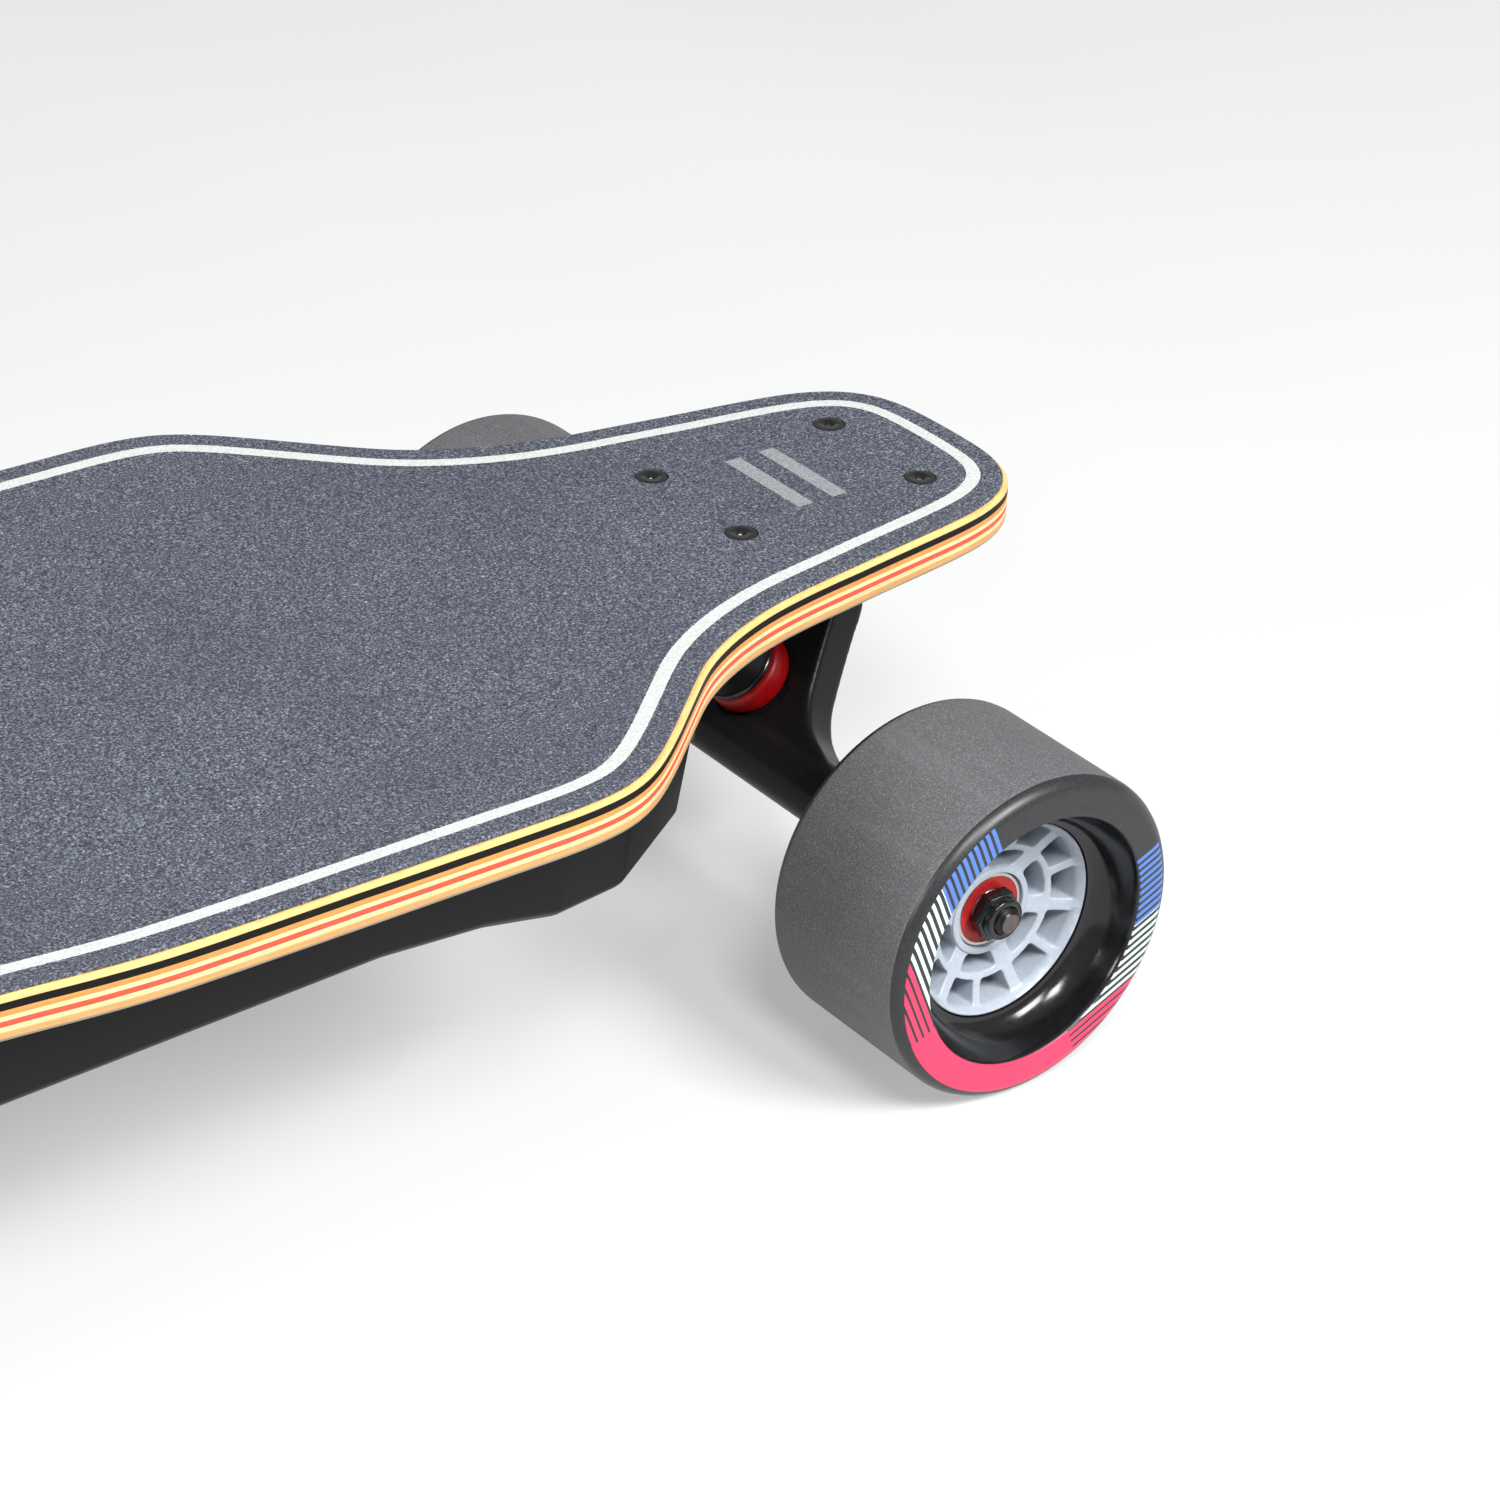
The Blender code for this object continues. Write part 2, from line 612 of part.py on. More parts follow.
def make_baseplate(name, end):
    """Make a baseplate: mounting plate, kingpin seat and pivot boss in one casting."""
    frame = truck_frame(end)
    low = PLATE_BOTTOM - AXLE_HEIGHT
    high = PLATE_TOP - AXLE_HEIGHT
    back = BOLT_CENTRE - PLATE_LENGTH / 2
    plate = block(f"{name}_baseplate", (back, -PLATE_WIDTH / 2, low),
                  (back + PLATE_LENGTH, PLATE_WIDTH / 2, high), frame, 0.008, True)
    seat_rib = ((0.0160, 0.0587), (0.0083, 0.0339), (-0.0025, 0.0226), (-0.0144, 0.0341),
                (-0.0057, 0.0431), (-0.0120, 0.0587))
    boss_rib = ((0.0250, 0.0587), (0.0365, 0.0470), (0.0480, 0.0470), (0.0570, 0.0440),
                (0.0570, 0.0587))
    side_on = frame @ Matrix.Rotation(math.pi / 2, 4, "X")
    seat = kingpin_frame(end, KINGPIN_T)
    pivot = pivot_frame(end)
    join(plate,
         extruded(f"{name}_seat_rib", seat_rib, -0.0110, 0.0110, side_on),
         extruded(f"{name}_boss_rib", boss_rib, -0.0090, 0.0090, side_on),
         cylinder(f"{name}_seat", SEAT_RADIUS, SEAT_N, SEAT_TOP, seat, 20),
         cylinder(f"{name}_boss", BOSS_RADIUS, BOSS_LOW, BOSS_END, pivot, 20))
    cut(plate,
        cylinder(f"{name}_kingpin_bore", KINGPIN_RADIUS + GAP, 0.01, 0.05, seat, 12),
        cylinder(f"{name}_head_recess", HEAD_RADIUS + 2 * GAP, HEAD_LOW - GAP, 0.05, seat, 12),
        cylinder(f"{name}_cup_socket", CUP_RADIUS + GAP, 0.04, CUP_END + GAP, pivot, 16))
    holes = bolt_cutter(f"{name}_plate_holes", (
        (0.0, PLATE_TOP + 0.01), (BOLT_HOLE_RADIUS, PLATE_TOP + 0.01),
        (BOLT_HOLE_RADIUS, PLATE_BOTTOM - 0.01), (0.0, PLATE_BOTTOM - 0.01)))
    cut(plate, holes)
    put(plate, SATIN_BLACK, 35)
    riser = block(f"{name}_riser_pad",
                  (back, -PLATE_WIDTH / 2, RISER_TOP - RISER_THICKNESS - AXLE_HEIGHT),
                  (back + PLATE_LENGTH, PLATE_WIDTH / 2, RISER_TOP - AXLE_HEIGHT),
                  frame, 0.008, True)
    cut(riser, bolt_cutter(f"{name}_riser_holes", (
        (0.0, PLY_TOP), (BOLT_HOLE_RADIUS, PLY_TOP),
        (BOLT_HOLE_RADIUS, PLATE_BOTTOM), (0.0, PLATE_BOTTOM))))
    put(riser, SEAL, 35)


def make_kingpin_stack(name, end):
    """Make the kingpin with its nut, bushings, cup washers and the pivot cup."""
    seat = kingpin_frame(end, KINGPIN_T)
    pin = turned(f"{name}_kingpin", (
        (0.0, HEAD_HIGH), (HEAD_RADIUS, HEAD_HIGH), (HEAD_RADIUS, HEAD_LOW),
        (KINGPIN_RADIUS, HEAD_LOW), (KINGPIN_RADIUS, KINGPIN_END + 0.0010),
        (KINGPIN_RADIUS - 0.0010, KINGPIN_END), (0.0, KINGPIN_END)), seat, 12)
    put(pin, BLACK_STEEL, 30)
    bore = KINGPIN_RADIUS + GAP
    tip_washer_low = ROADSIDE_END - GAP - WASHER_THICKNESS
    nut = cylinder(f"{name}_kingpin_nut", 0.0081, NUT_END, tip_washer_low - GAP, seat, 6)
    cut(nut, cylinder(f"{name}_nut_bore", bore, -0.04, -0.01, seat, 12))
    put(nut, BLACK_STEEL)
    bushings = (("boardside", BOARDSIDE_TOP, ARM_HIGH + GAP, BUSHING_RADIUS, BUSHING_RADIUS),
                ("roadside", ARM_LOW - GAP, ROADSIDE_END, BUSHING_RADIUS, BUSHING_TIP_RADIUS))
    for place, high, low, high_radius, low_radius in bushings:
        bushing = turned(f"{name}_{place}_bushing", (
            (high_radius - 0.0010, high), (high_radius, high - 0.0014),
            (low_radius, low + 0.0014), (low_radius - 0.0010, low), (bore, low),
            (bore, high)), seat, 16, ring=True)
        put(bushing, RED_URETHANE, 50)
    washers = (("boardside", BOARDSIDE_TOP + GAP, WASHER_RADIUS),
               ("roadside", tip_washer_low, TIP_WASHER_RADIUS))
    for place, low, radius in washers:
        high = low + WASHER_THICKNESS
        washer = turned(f"{name}_{place}_washer", (
            (radius, high), (radius, low), (bore, low), (bore, high)), seat, 16, ring=True)
        put(washer, BLACK_STEEL, 30)
    lip = CUP_LOW + CUP_LIP
    cup = turned(f"{name}_pivot_cup", (
        (0.0, CUP_END), (CUP_RADIUS, CUP_END), (CUP_RADIUS, lip), (CUP_LIP_RADIUS, lip),
        (CUP_LIP_RADIUS, CUP_LOW), (CUP_BORE_RADIUS, CUP_LOW),
        (CUP_BORE_RADIUS, CUP_BORE_END), (0.0, CUP_BORE_END)), pivot_frame(end), 16)
    put(cup, RED_URETHANE, 30)


def make_deck_bolts():
    """Make the eight deck bolts, each with its nut, sharing one mesh."""
    bolt = turned("bolt_shape", (
        (0.0, BOLT_TOP), (BOLT_HEAD_RADIUS, BOLT_TOP),
        (BOLT_HEAD_RADIUS, BOLT_TOP - 0.0004), (BOLT_RADIUS, BOLT_TOP - BOLT_HEAD_DEPTH),
        (BOLT_RADIUS, BOLT_END), (0.0, BOLT_END)), segments=10)
    nut_top = PLATE_BOTTOM - GAP
    join(bolt, cylinder("bolt_nut", BOLT_NUT_RADIUS, nut_top - BOLT_NUT_HEIGHT, nut_top,
                        segments=6))
    cut(bolt, cylinder("bolt_socket", SOCKET_RADIUS, BOLT_TOP - 0.0020, BOLT_TOP + 0.01,
                       segments=6))
    mesh = baked(bolt)
    bpy.data.objects.remove(bolt)
    mesh.materials.append(BLACK_STEEL)
    mesh.shade_smooth()
    mesh.set_sharp_from_angle(angle=math.radians(30))
    for name, x, y in bolt_places():
        obj = bpy.data.objects.new(name, mesh)
        obj.location = (x, y, 0.0)
        PARTS.objects.link(obj)


def make_trucks():
    """Make both trucks. The front axle is a rod, and the rear one is two motor shafts."""
    for name, end in ENDS:
        make_baseplate(name, end)
        make_kingpin_stack(name, end)
    across = wheel_frame(1, 1)
    front = make_hanger("front", 1, FRONT_HANGER_HALF)
    cut(front, cylinder("front_axle_bore", AXLE_RADIUS + GAP, -0.2, 0.2, across, 16))
    put(front, SATIN_BLACK, 35)
    axle = cylinder("front_axle", AXLE_RADIUS, -AXLE_HALF_LENGTH, AXLE_HALF_LENGTH, across, 16)
    put(axle, AXLE_STEEL, 30)
    rear = make_hanger("rear", -1, REAR_HANGER_HALF)
    for name, side in SIDES:
        cut(rear, cylinder(f"rear_{name}_shaft_bore", 0.0083, 0.0600, 0.2,
                           wheel_frame(-1, side), 16))
    put(rear, SATIN_BLACK, 35)


# Wheels

def tyre_profile(bore_radius, flare_radius, bore_low, bore_high):
    """Return a tyre's profile: rounded lips, flat faces, and a bore that flares out."""
    outer = WHEEL_OUTER_FACE
    inner = WHEEL_OUTER_FACE - WHEEL_WIDTH
    lip = TYRE_LIP
    corner = [(math.sin(angle), math.cos(angle))
              for angle in (math.radians(22.5), math.radians(67.5))]
    over = [(WHEEL_RADIUS - lip + lip * s, outer - lip + lip * c) for s, c in corner]
    under = [(WHEEL_RADIUS - lip + lip * s, inner + lip - lip * c) for s, c in reversed(corner)]
    return [(flare_radius, outer), *over, *under, (flare_radius, inner),
            (bore_radius, bore_low), (bore_radius, bore_high)]


def make_front_wheel(side_name, side):
    """Make a free-rolling front wheel: tyre, core and two bearings."""
    frame = wheel_frame(1, side)
    name = f"front_{side_name}"
    tyre = turned(f"{name}_tyre", tyre_profile(
        CORE_RADIUS + GAP, FACE_INNER_RADIUS, CORE_INNER_FACE, CORE_OUTER_FACE),
        frame, TYRE_SEGMENTS, ring=True)
    put(tyre, TREAD, 30)
    seat = BEARING_RADIUS + GAP
    inner_shoulder = INNER_BEARING + BEARING_WIDTH + GAP
    outer_shoulder = OUTER_BEARING - GAP
    hub_high = OUTER_BEARING + BEARING_WIDTH + 0.001
    hub_low = INNER_BEARING - GAP
    core = turned(f"{name}_core", (
        (0.0150, hub_high), (0.0150, 0.1065), (0.0255, 0.1065), (0.0255, CORE_OUTER_FACE),
        (CORE_RADIUS, CORE_OUTER_FACE), (CORE_RADIUS, CORE_INNER_FACE),
        (0.0255, CORE_INNER_FACE), (0.0255, 0.1000), (0.0150, 0.1000), (0.0150, hub_low),
        (seat, hub_low), (seat, inner_shoulder), (0.0090, inner_shoulder),
        (0.0090, outer_shoulder), (seat, outer_shoulder), (seat, hub_high)),
        frame, 24, ring=True)
    for index in range(6):
        spoke = frame @ Matrix.Rotation(math.radians(60 * index), 4, "Z")
        cut(core, cylinder(f"{name}_window_{index}", 0.0038, 0.09, 0.12,
                           spoke @ Matrix.Translation((0.0202, 0.0, 0.0)), 6))
    put(core, CORE_GREY, 30)
    for place, low in (("inner", INNER_BEARING), ("outer", OUTER_BEARING)):
        high = low + BEARING_WIDTH
        bearing = turned(f"{name}_{place}_bearing", (
            (BEARING_RADIUS, high), (BEARING_RADIUS, low), (AXLE_RADIUS + GAP, low),
            (AXLE_RADIUS + GAP, high)), frame, 20, ring=True)
        put(bearing, BRIGHT_STEEL, 30)
    nut = cylinder(f"{name}_axle_nut", 0.0074, 0.1146, 0.1208, frame, 6)
    cut(nut, cylinder(f"{name}_nut_bore", AXLE_RADIUS + GAP, 0.10, 0.13, frame, 16))
    put(nut, BLACK_STEEL)


def make_rear_wheel(side_name, side):
    """Make a hub-motor wheel: tyre sleeve, rotor, cover, stator with shaft, and nut."""
    frame = wheel_frame(-1, side)
    name = f"rear_{side_name}"
    inner = WHEEL_OUTER_FACE - WHEEL_WIDTH
    sleeve = MOTOR_RADIUS + GAP
    tyre = turned(f"{name}_tyre", tyre_profile(sleeve, sleeve + 0.0008, inner + 0.001,
                                               WHEEL_OUTER_FACE - 0.001),
                  frame, TYRE_SEGMENTS, ring=True)
    put(tyre, TREAD, 30)
    rotor = turned(f"{name}_motor_rotor", (
        (MOTOR_RADIUS, 0.1280), (MOTOR_RADIUS, 0.0815), (0.0079, 0.0815), (0.0079, 0.0860),
        (0.0355, 0.0860), (0.0355, 0.1280)), frame, 24, ring=True)
    put(rotor, SATIN_BLACK, 30)
    cover = turned(f"{name}_motor_cover", (
        (0.0360, 0.1330), (0.0395, 0.1315), (0.0395, 0.1283), (0.0080, 0.1283),
        (0.0080, 0.1310), (0.0110, 0.1330)), frame, 24, ring=True)
    put(cover, SATIN_BLACK, 30)
    stator = turned(f"{name}_motor_stator", (
        (0.0, 0.1335), (0.0040, 0.1335), (0.0040, 0.1240), (0.0060, 0.1240), (0.0060, 0.1200),
        (0.0340, 0.1200), (0.0340, 0.0900), (0.0075, 0.0900), (0.0075, 0.0790),
        (0.0080, 0.0780), (0.0080, 0.0605), (0.0, 0.0605)), frame, 16)
    put(stator, COPPER, 30)
    nut = cylinder(f"{name}_axle_nut", 0.0072, 0.1245, 0.1325, frame, 6)
    cut(nut, cylinder(f"{name}_nut_bore", AXLE_RADIUS + GAP, 0.11, 0.15, frame, 16))
    put(nut, BLACK_STEEL)


make_deck()
make_enclosure()
make_electronics()
make_ports()
make_deck_bolts()
make_trucks()
for side_name, side in SIDES:
    make_front_wheel(side_name, side)
    make_rear_wheel(side_name, side)
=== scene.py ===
"""The looks of the electric skateboard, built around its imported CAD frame.

Every piece is made in the frame's own coordinates: metres, +Z up, +X to the nose and +Y to
the rider's left. Places come from the CAD nodes' boxes and from the same few driving sizes
that the CAD uses.
"""
import math

import bmesh
import bpy
from mathutils import Matrix, Vector


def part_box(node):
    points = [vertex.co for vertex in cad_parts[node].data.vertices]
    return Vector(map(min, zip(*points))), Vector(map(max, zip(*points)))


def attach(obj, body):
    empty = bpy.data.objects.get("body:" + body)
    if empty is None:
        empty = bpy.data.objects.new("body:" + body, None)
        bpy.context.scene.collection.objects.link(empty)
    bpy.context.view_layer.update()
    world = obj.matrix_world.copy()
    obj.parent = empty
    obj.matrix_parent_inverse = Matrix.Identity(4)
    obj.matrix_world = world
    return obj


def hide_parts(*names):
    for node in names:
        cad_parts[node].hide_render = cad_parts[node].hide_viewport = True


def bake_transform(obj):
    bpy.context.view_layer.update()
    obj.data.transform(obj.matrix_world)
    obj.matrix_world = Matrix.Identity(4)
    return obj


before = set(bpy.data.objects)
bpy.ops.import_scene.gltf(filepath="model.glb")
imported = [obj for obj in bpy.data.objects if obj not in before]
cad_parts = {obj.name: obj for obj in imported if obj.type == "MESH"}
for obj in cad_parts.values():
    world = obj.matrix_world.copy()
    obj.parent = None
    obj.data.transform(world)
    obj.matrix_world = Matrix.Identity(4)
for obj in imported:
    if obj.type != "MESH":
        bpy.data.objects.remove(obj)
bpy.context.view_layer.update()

MM = 0.001
GAP = 0.3 * MM

# Places read from the frame
axle_low, axle_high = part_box("front_axle")
HALF_AXLES = (axle_low.x + axle_high.x) / 2
AXLE_HEIGHT = (axle_low.z + axle_high.z) / 2
INNER_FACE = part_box("front_left_tyre")[0].y
OUTER_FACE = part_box("front_left_tyre")[1].y
DECK_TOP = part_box("front_outer_left_bolt")[1].z + 0.9 * MM
PLY_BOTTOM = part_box("deck")[0].z - 0.2 * MM
PLY_TOP = DECK_TOP - 1.1 * MM
PLATE_THICKNESS = 5.5 * MM
PLATE_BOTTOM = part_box("front_riser_pad")[0].z - PLATE_THICKNESS
WHEEL_RADIUS = 48 * MM

# Deck: distance outboard of the axle and half width, from the nose to the middle, in mm
OUTLINE = (
    (76.0, 0.5), (75.9, 10), (75.2, 19), (72.8, 28), (68.2, 35), (62, 40), (54, 43.8),
    (45, 46.3), (30, 48.9), (10, 51.8), (-4, 54.1), (-16, 55.9), (-28, 58.1), (-39, 61),
    (-50, 65.1), (-60, 70), (-70, 76.6), (-82, 87), (-98, 101), (-110, 110.4),
    (-122, 116.6), (-138, 119), (-165, 119), (-240, 118.6), (-265, 117.2), (-290, 113.6),
    (-320, 110.6), (-360, 109), (-406.5, 108.5),
)
FLAT_HALF_WIDTH = 45 * MM
WIDEST_HALF_WIDTH = 119 * MM
CONCAVE_RISE = 2.2 * MM
# The concave bends the board's skin along these lines, in mm from its middle
CONCAVE_LINES = (45, 54, 63, 72, 81, 90, 99, 108, 115)
OUTLINE_SPACING = 3 * MM
# One unit of the deck's UV map across its skin, and the grip's stripe
UV_SPAN = 20 * MM
STRIPE_INSET = 10 * MM
STRIPE_HALF = 2 * MM
# The grip's two bars: middle outboard of the axle, distance apart, and half sizes
BARS_MIDDLE, BARS_APART = 15 * MM, 12 * MM
BAR_HALF_WIDTH, BAR_HALF_LENGTH = 2.6 * MM, 17 * MM
# Deck bolts
HEAD_RADIUS = 4.65 * MM
HOLE_RADIUS = HEAD_RADIUS + 0.15 * MM

ENDS = (("front", 1), ("rear", -1))
SIDES = (("left", 1), ("right", -1))


# Materials

class Shade:
    """A node material while it is being built."""

    def __init__(self, name, **sockets):
        """Start from a Principled material, with some of its sockets set to plain values."""
        self.material = bpy.data.materials.new(name)
        self.material.use_nodes = True
        self.nodes = self.material.node_tree.nodes
        self.links = self.material.node_tree.links
        self.shader = self.nodes["Principled BSDF"]
        self.place = self.add("TexCoord").outputs["Object"]
        for socket, value in sockets.items():
            self.shader.inputs[socket.replace("_", " ")].default_value = value

    def add(self, kind, inputs=None, **settings):
        """Add a node, with its settings and what goes into its inputs."""
        made = self.nodes.new("ShaderNode" + kind)
        for key, value in settings.items():
            setattr(made, key, value)
        for key, value in (inputs or {}).items():
            self.feed(made.inputs[key], value)
        return made

    def feed(self, socket, value):
        """Link another socket into this one, or set its value."""
        if isinstance(value, bpy.types.NodeSocket):
            self.links.new(value, socket)
        else:
            socket.default_value = value

    def math(self, operation, a, b=0.0):
        """Return the result of a sum on two values."""
        return self.add("Math", {0: a, 1: b}, operation=operation).outputs[0]

    def length(self, a, b):
        """Return the length of the diagonal of two values."""
        squares = [self.math("MULTIPLY", side, side) for side in (a, b)]
        return self.math("SQRT", self.math("ADD", *squares))

    def split(self, vector):
        """Return the separate values of a vector."""
        return self.add("SeparateXYZ", {0: vector}).outputs

    def uv(self):
        """Return the separate values of the UV map."""
        return self.split(self.add("UVMap").outputs[0])

    def stretched(self, x, y, z):
        """Return the object's coordinates scaled by three factors."""
        return self.add("Mapping", {"Vector": self.place, "Scale": (x, y, z)}).outputs[0]

    def noise(self, scale, detail=2.0, place=None, roughness=0.5):
        """Return a noise value."""
        made = self.add("TexNoise", {"Vector": place or self.place, "Scale": scale,
                                     "Detail": detail, "Roughness": roughness})
        return made.outputs["Fac"]

    def cells(self, scale):
        """Return the random value of each cell of a Voronoi pattern."""
        made = self.add("TexVoronoi", {"Vector": self.place, "Scale": scale})
        return self.add("SeparateColor", {"Color": made.outputs["Color"]}).outputs[0]

    def ramp(self, value, stops, interpolation="LINEAR"):
        """Return a colour looked up in a ramp of (place, colour) stops."""
        made = self.add("ValToRGB", {"Fac": value})
        made.color_ramp.interpolation = interpolation
        points = made.color_ramp.elements
        while len(points) < len(stops):
            points.new(0.5)
        for point, (place, color) in zip(points, stops):
            point.position = place
            point.color = (*color, 1.0)
        return made.outputs["Color"]

    def mix(self, value, a, b, blend="MIX"):
        """Return a mix of two colours."""
        made = self.add("Mix", data_type="RGBA", blend_type=blend)
        self.feed(made.inputs[0], value)
        for socket, color in ((made.inputs[6], a), (made.inputs[7], b)):
            self.feed(socket, color if isinstance(color, bpy.types.NodeSocket)
                      else (*color, 1.0))
        return made.outputs[2]

    def spread(self, value, low, high, from_low=0.0, from_high=1.0):
        """Return a value moved from one range to another."""
        made = self.add("MapRange", {"Value": value, "From Min": from_low,
                                     "From Max": from_high, "To Min": low, "To Max": high})
        return made.outputs[0]

    def color(self, value):
        """Set the base colour."""
        self.feed(self.shader.inputs["Base Color"], value)

    def rough(self, value):
        """Set the roughness."""
        self.feed(self.shader.inputs["Roughness"], value)

    def bump(self, height, strength, distance):
        """Add a bump to the surface, on top of any bump made before."""
        made = self.add("Bump", {"Height": height, "Strength": strength, "Distance": distance})
        before = self.shader.inputs["Normal"]
        if before.is_linked:
            self.links.new(before.links[0].from_socket, made.inputs["Normal"])
        self.links.new(made.outputs[0], before)


def surface(name, dark, light, rough, grain, bump=0.15, depth=0.1 * MM, broad=40.0, **sockets):
    """Make a finish of fine grain over broad patches, both in colour and in roughness."""
    shade = Shade(name, **sockets)
    fine = shade.noise(grain, 3.0)
    patches = shade.noise(broad, 4.0)
    both = shade.math("MULTIPLY_ADD", fine, 0.5)
    shade.feed(both.node.inputs[2], shade.math("MULTIPLY", patches, 0.5))
    shade.color(shade.ramp(both, ((0.35, dark), (0.65, light))))
    shade.rough(shade.spread(both, *rough, 0.35, 0.65))
    shade.bump(fine, bump, depth)
    return shade.material


def make_ply():
    """Maple ply: coloured layers through the thickness, with grain along the board."""
    shade = Shade("maple_ply", Specular_IOR_Level=0.15)
    wander = shade.spread(shade.noise(22.0, 2.0), -0.02, 0.02)
    height = shade.math("ADD", shade.uv()[1], wander)
    layers = shade.ramp(height, (
        (0.0, (0.33, 0.27, 0.19)), (0.11, (0.56, 0.31, 0.12)), (0.25, (0.78, 0.55, 0.29)),
        (0.36, (0.70, 0.085, 0.050)), (0.49, (0.80, 0.58, 0.31)), (0.59, (0.56, 0.25, 0.07)),
        (0.72, (0.004, 0.004, 0.003)), (0.895, (0.66, 0.45, 0.17)),
    ), "CONSTANT")
    grain = shade.noise(1.0, 4.0, shade.stretched(60, 260, 2600), 0.6)
    pores = shade.noise(1.0, 2.0, shade.stretched(420, 1400, 9000), 0.5)
    tint = shade.mix(shade.spread(grain, 0.0, 0.75, 0.35, 0.7), layers,
                     shade.mix(0.45, layers, (0.42, 0.20, 0.07), "MULTIPLY"))
    shade.color(shade.mix(shade.spread(pores, 0.0, 0.55, 0.58, 0.72), tint,
                          shade.mix(0.6, tint, (0.25, 0.13, 0.06), "MULTIPLY")))
    shade.rough(shade.spread(grain, 0.45, 0.62))
    shade.bump(pores, 0.25, 0.1 * MM)
    return shade.material


def make_grip():
    """Grip tape: sharp dark grit with lit grains, a pale edge stripe and two plain bars."""
    shade = Shade("grip_tape", Specular_IOR_Level=0.4)
    grit = shade.noise(1500.0, 3.0, roughness=0.7)
    glints = shade.cells(2100.0)
    patches = shade.noise(14.0, 3.0)
    base = shade.ramp(grit, (
        (0.30, (0.005, 0.006, 0.010)), (0.46, (0.034, 0.038, 0.052)),
        (0.57, (0.092, 0.101, 0.130)), (0.72, (0.25, 0.265, 0.315))))
    base = shade.mix(shade.spread(glints, 0.0, 0.7, 0.955, 1.0), base, (0.34, 0.36, 0.41))
    base = shade.mix(shade.spread(patches, 0.0, 0.25, 0.4, 0.75), base, (0.022, 0.025, 0.034))
    fray = shade.spread(shade.noise(1700.0, 1.0), -0.012, 0.012)
    off_centre = shade.math("ABSOLUTE",
                            shade.math("SUBTRACT", shade.uv()[0], STRIPE_INSET / UV_SPAN))
    stripe = shade.math("LESS_THAN", shade.math("ADD", off_centre, fray), STRIPE_HALF / UV_SPAN)
    ink = shade.ramp(grit, ((0.3, (0.33, 0.355, 0.34)), (0.5, (0.45, 0.48, 0.46)),
                            (0.7, (0.55, 0.585, 0.56))))
    x, y, _ = shade.split(shade.place)
    from_middle = shade.math("SUBTRACT", x, HALF_AXLES + BARS_MIDDLE)
    beside = shade.math("LESS_THAN", shade.math("ABSOLUTE", y), BAR_HALF_LENGTH)
    bars = 0.0
    for centre in (-BARS_APART / 2, BARS_APART / 2):
        along = shade.math("ABSOLUTE", shade.math("SUBTRACT", from_middle, centre))
        frayed = shade.math("ADD", along, shade.math("MULTIPLY", fray, 0.02))
        inside = shade.math("LESS_THAN", frayed, BAR_HALF_WIDTH)
        bars = shade.math("MAXIMUM", bars, shade.math("MULTIPLY", inside, beside))
    silver = shade.ramp(grit, ((0.3, (0.13, 0.135, 0.14)), (0.55, (0.22, 0.225, 0.235)),
                               (0.75, (0.33, 0.335, 0.345))))
    shade.color(shade.mix(bars, shade.mix(stripe, base, ink), silver))
    shade.rough(shade.spread(grit, 0.62, 0.95))
    shade.bump(grit, 0.6, 0.2 * MM)
    return shade.material


def make_print():
    """The printed tyre face: a solid arc, then lines at 45 degrees in three colours.

    The UV map holds metres from the wheel's centre, along the face.
    """
    shade = Shade("tyre_print", Specular_IOR_Level=0.4)
    pitch, pink_end, blue_start = 2.15 * MM, -36.9 * MM, -21.2 * MM
    ring_inner, ring_outer = 36.9 * MM, 45.3 * MM
    x, up, _ = shade.uv()
    side = shade.math("ABSOLUTE", x)
    radius = shade.length(side, up)
    across = shade.math("MULTIPLY", shade.math("SUBTRACT", up, side), math.sqrt(0.5))
    line = shade.math("FRACT", shade.math("DIVIDE", across, pitch))
    pink, white, blue = (0.66, 0.028, 0.090), (0.50, 0.60, 0.56), (0.060, 0.145, 0.42)
    is_pink = shade.math("LESS_THAN", across, pink_end)
    is_blue = shade.math("GREATER_THAN", across, blue_start)
    is_solid = shade.math("LESS_THAN", shade.math("ADD", up, side), 0.0)
    color = shade.mix(is_blue, shade.mix(is_pink, white, pink), blue)
    color = shade.mix(is_solid, color, pink)
    share = shade.math("ADD", 0.50, shade.math("MULTIPLY", is_pink, 0.14))
    share = shade.math("ADD", share, shade.math("MULTIPLY", is_blue, 0.08))
    inked = shade.math("MULTIPLY", shade.math("LESS_THAN", line, share),
                       shade.math("LESS_THAN", across, -0.1 * MM))
    in_ring = shade.math("MULTIPLY", shade.math("GREATER_THAN", radius, ring_inner),
                         shade.math("LESS_THAN", radius, ring_outer))
    inked = shade.math("MULTIPLY", shade.math("MAXIMUM", inked, is_solid), in_ring)
    fine = shade.noise(1600.0, 2.0)
    urethane = shade.ramp(fine, ((0.3, (0.012, 0.012, 0.013)), (0.7, (0.022, 0.022, 0.024))))
    shade.color(shade.mix(inked, urethane, color))
    shade.rough(shade.spread(fine, 0.30, 0.42))
    shade.bump(inked, 0.15, 0.03 * MM)
    return shade.material


def make_tread():
    """Ground urethane tread: matt grey with fine pale specks and faint scuffs."""
    shade = Shade("tread")
    specks = shade.noise(1900.0, 2.0, roughness=0.7)
    scuffs = shade.noise(1.0, 3.0, shade.stretched(140, 14, 140))
    base = shade.ramp(specks, ((0.3, (0.055, 0.055, 0.059)), (0.55, (0.090, 0.090, 0.096)),
                               (0.75, (0.19, 0.19, 0.20))))
    shade.color(shade.mix(shade.spread(scuffs, 0.0, 0.35, 0.5, 0.8), base, (0.14, 0.14, 0.15)))
    shade.rough(shade.spread(specks, 0.50, 0.72))
    shade.bump(specks, 0.3, 0.08 * MM)
    return shade.material


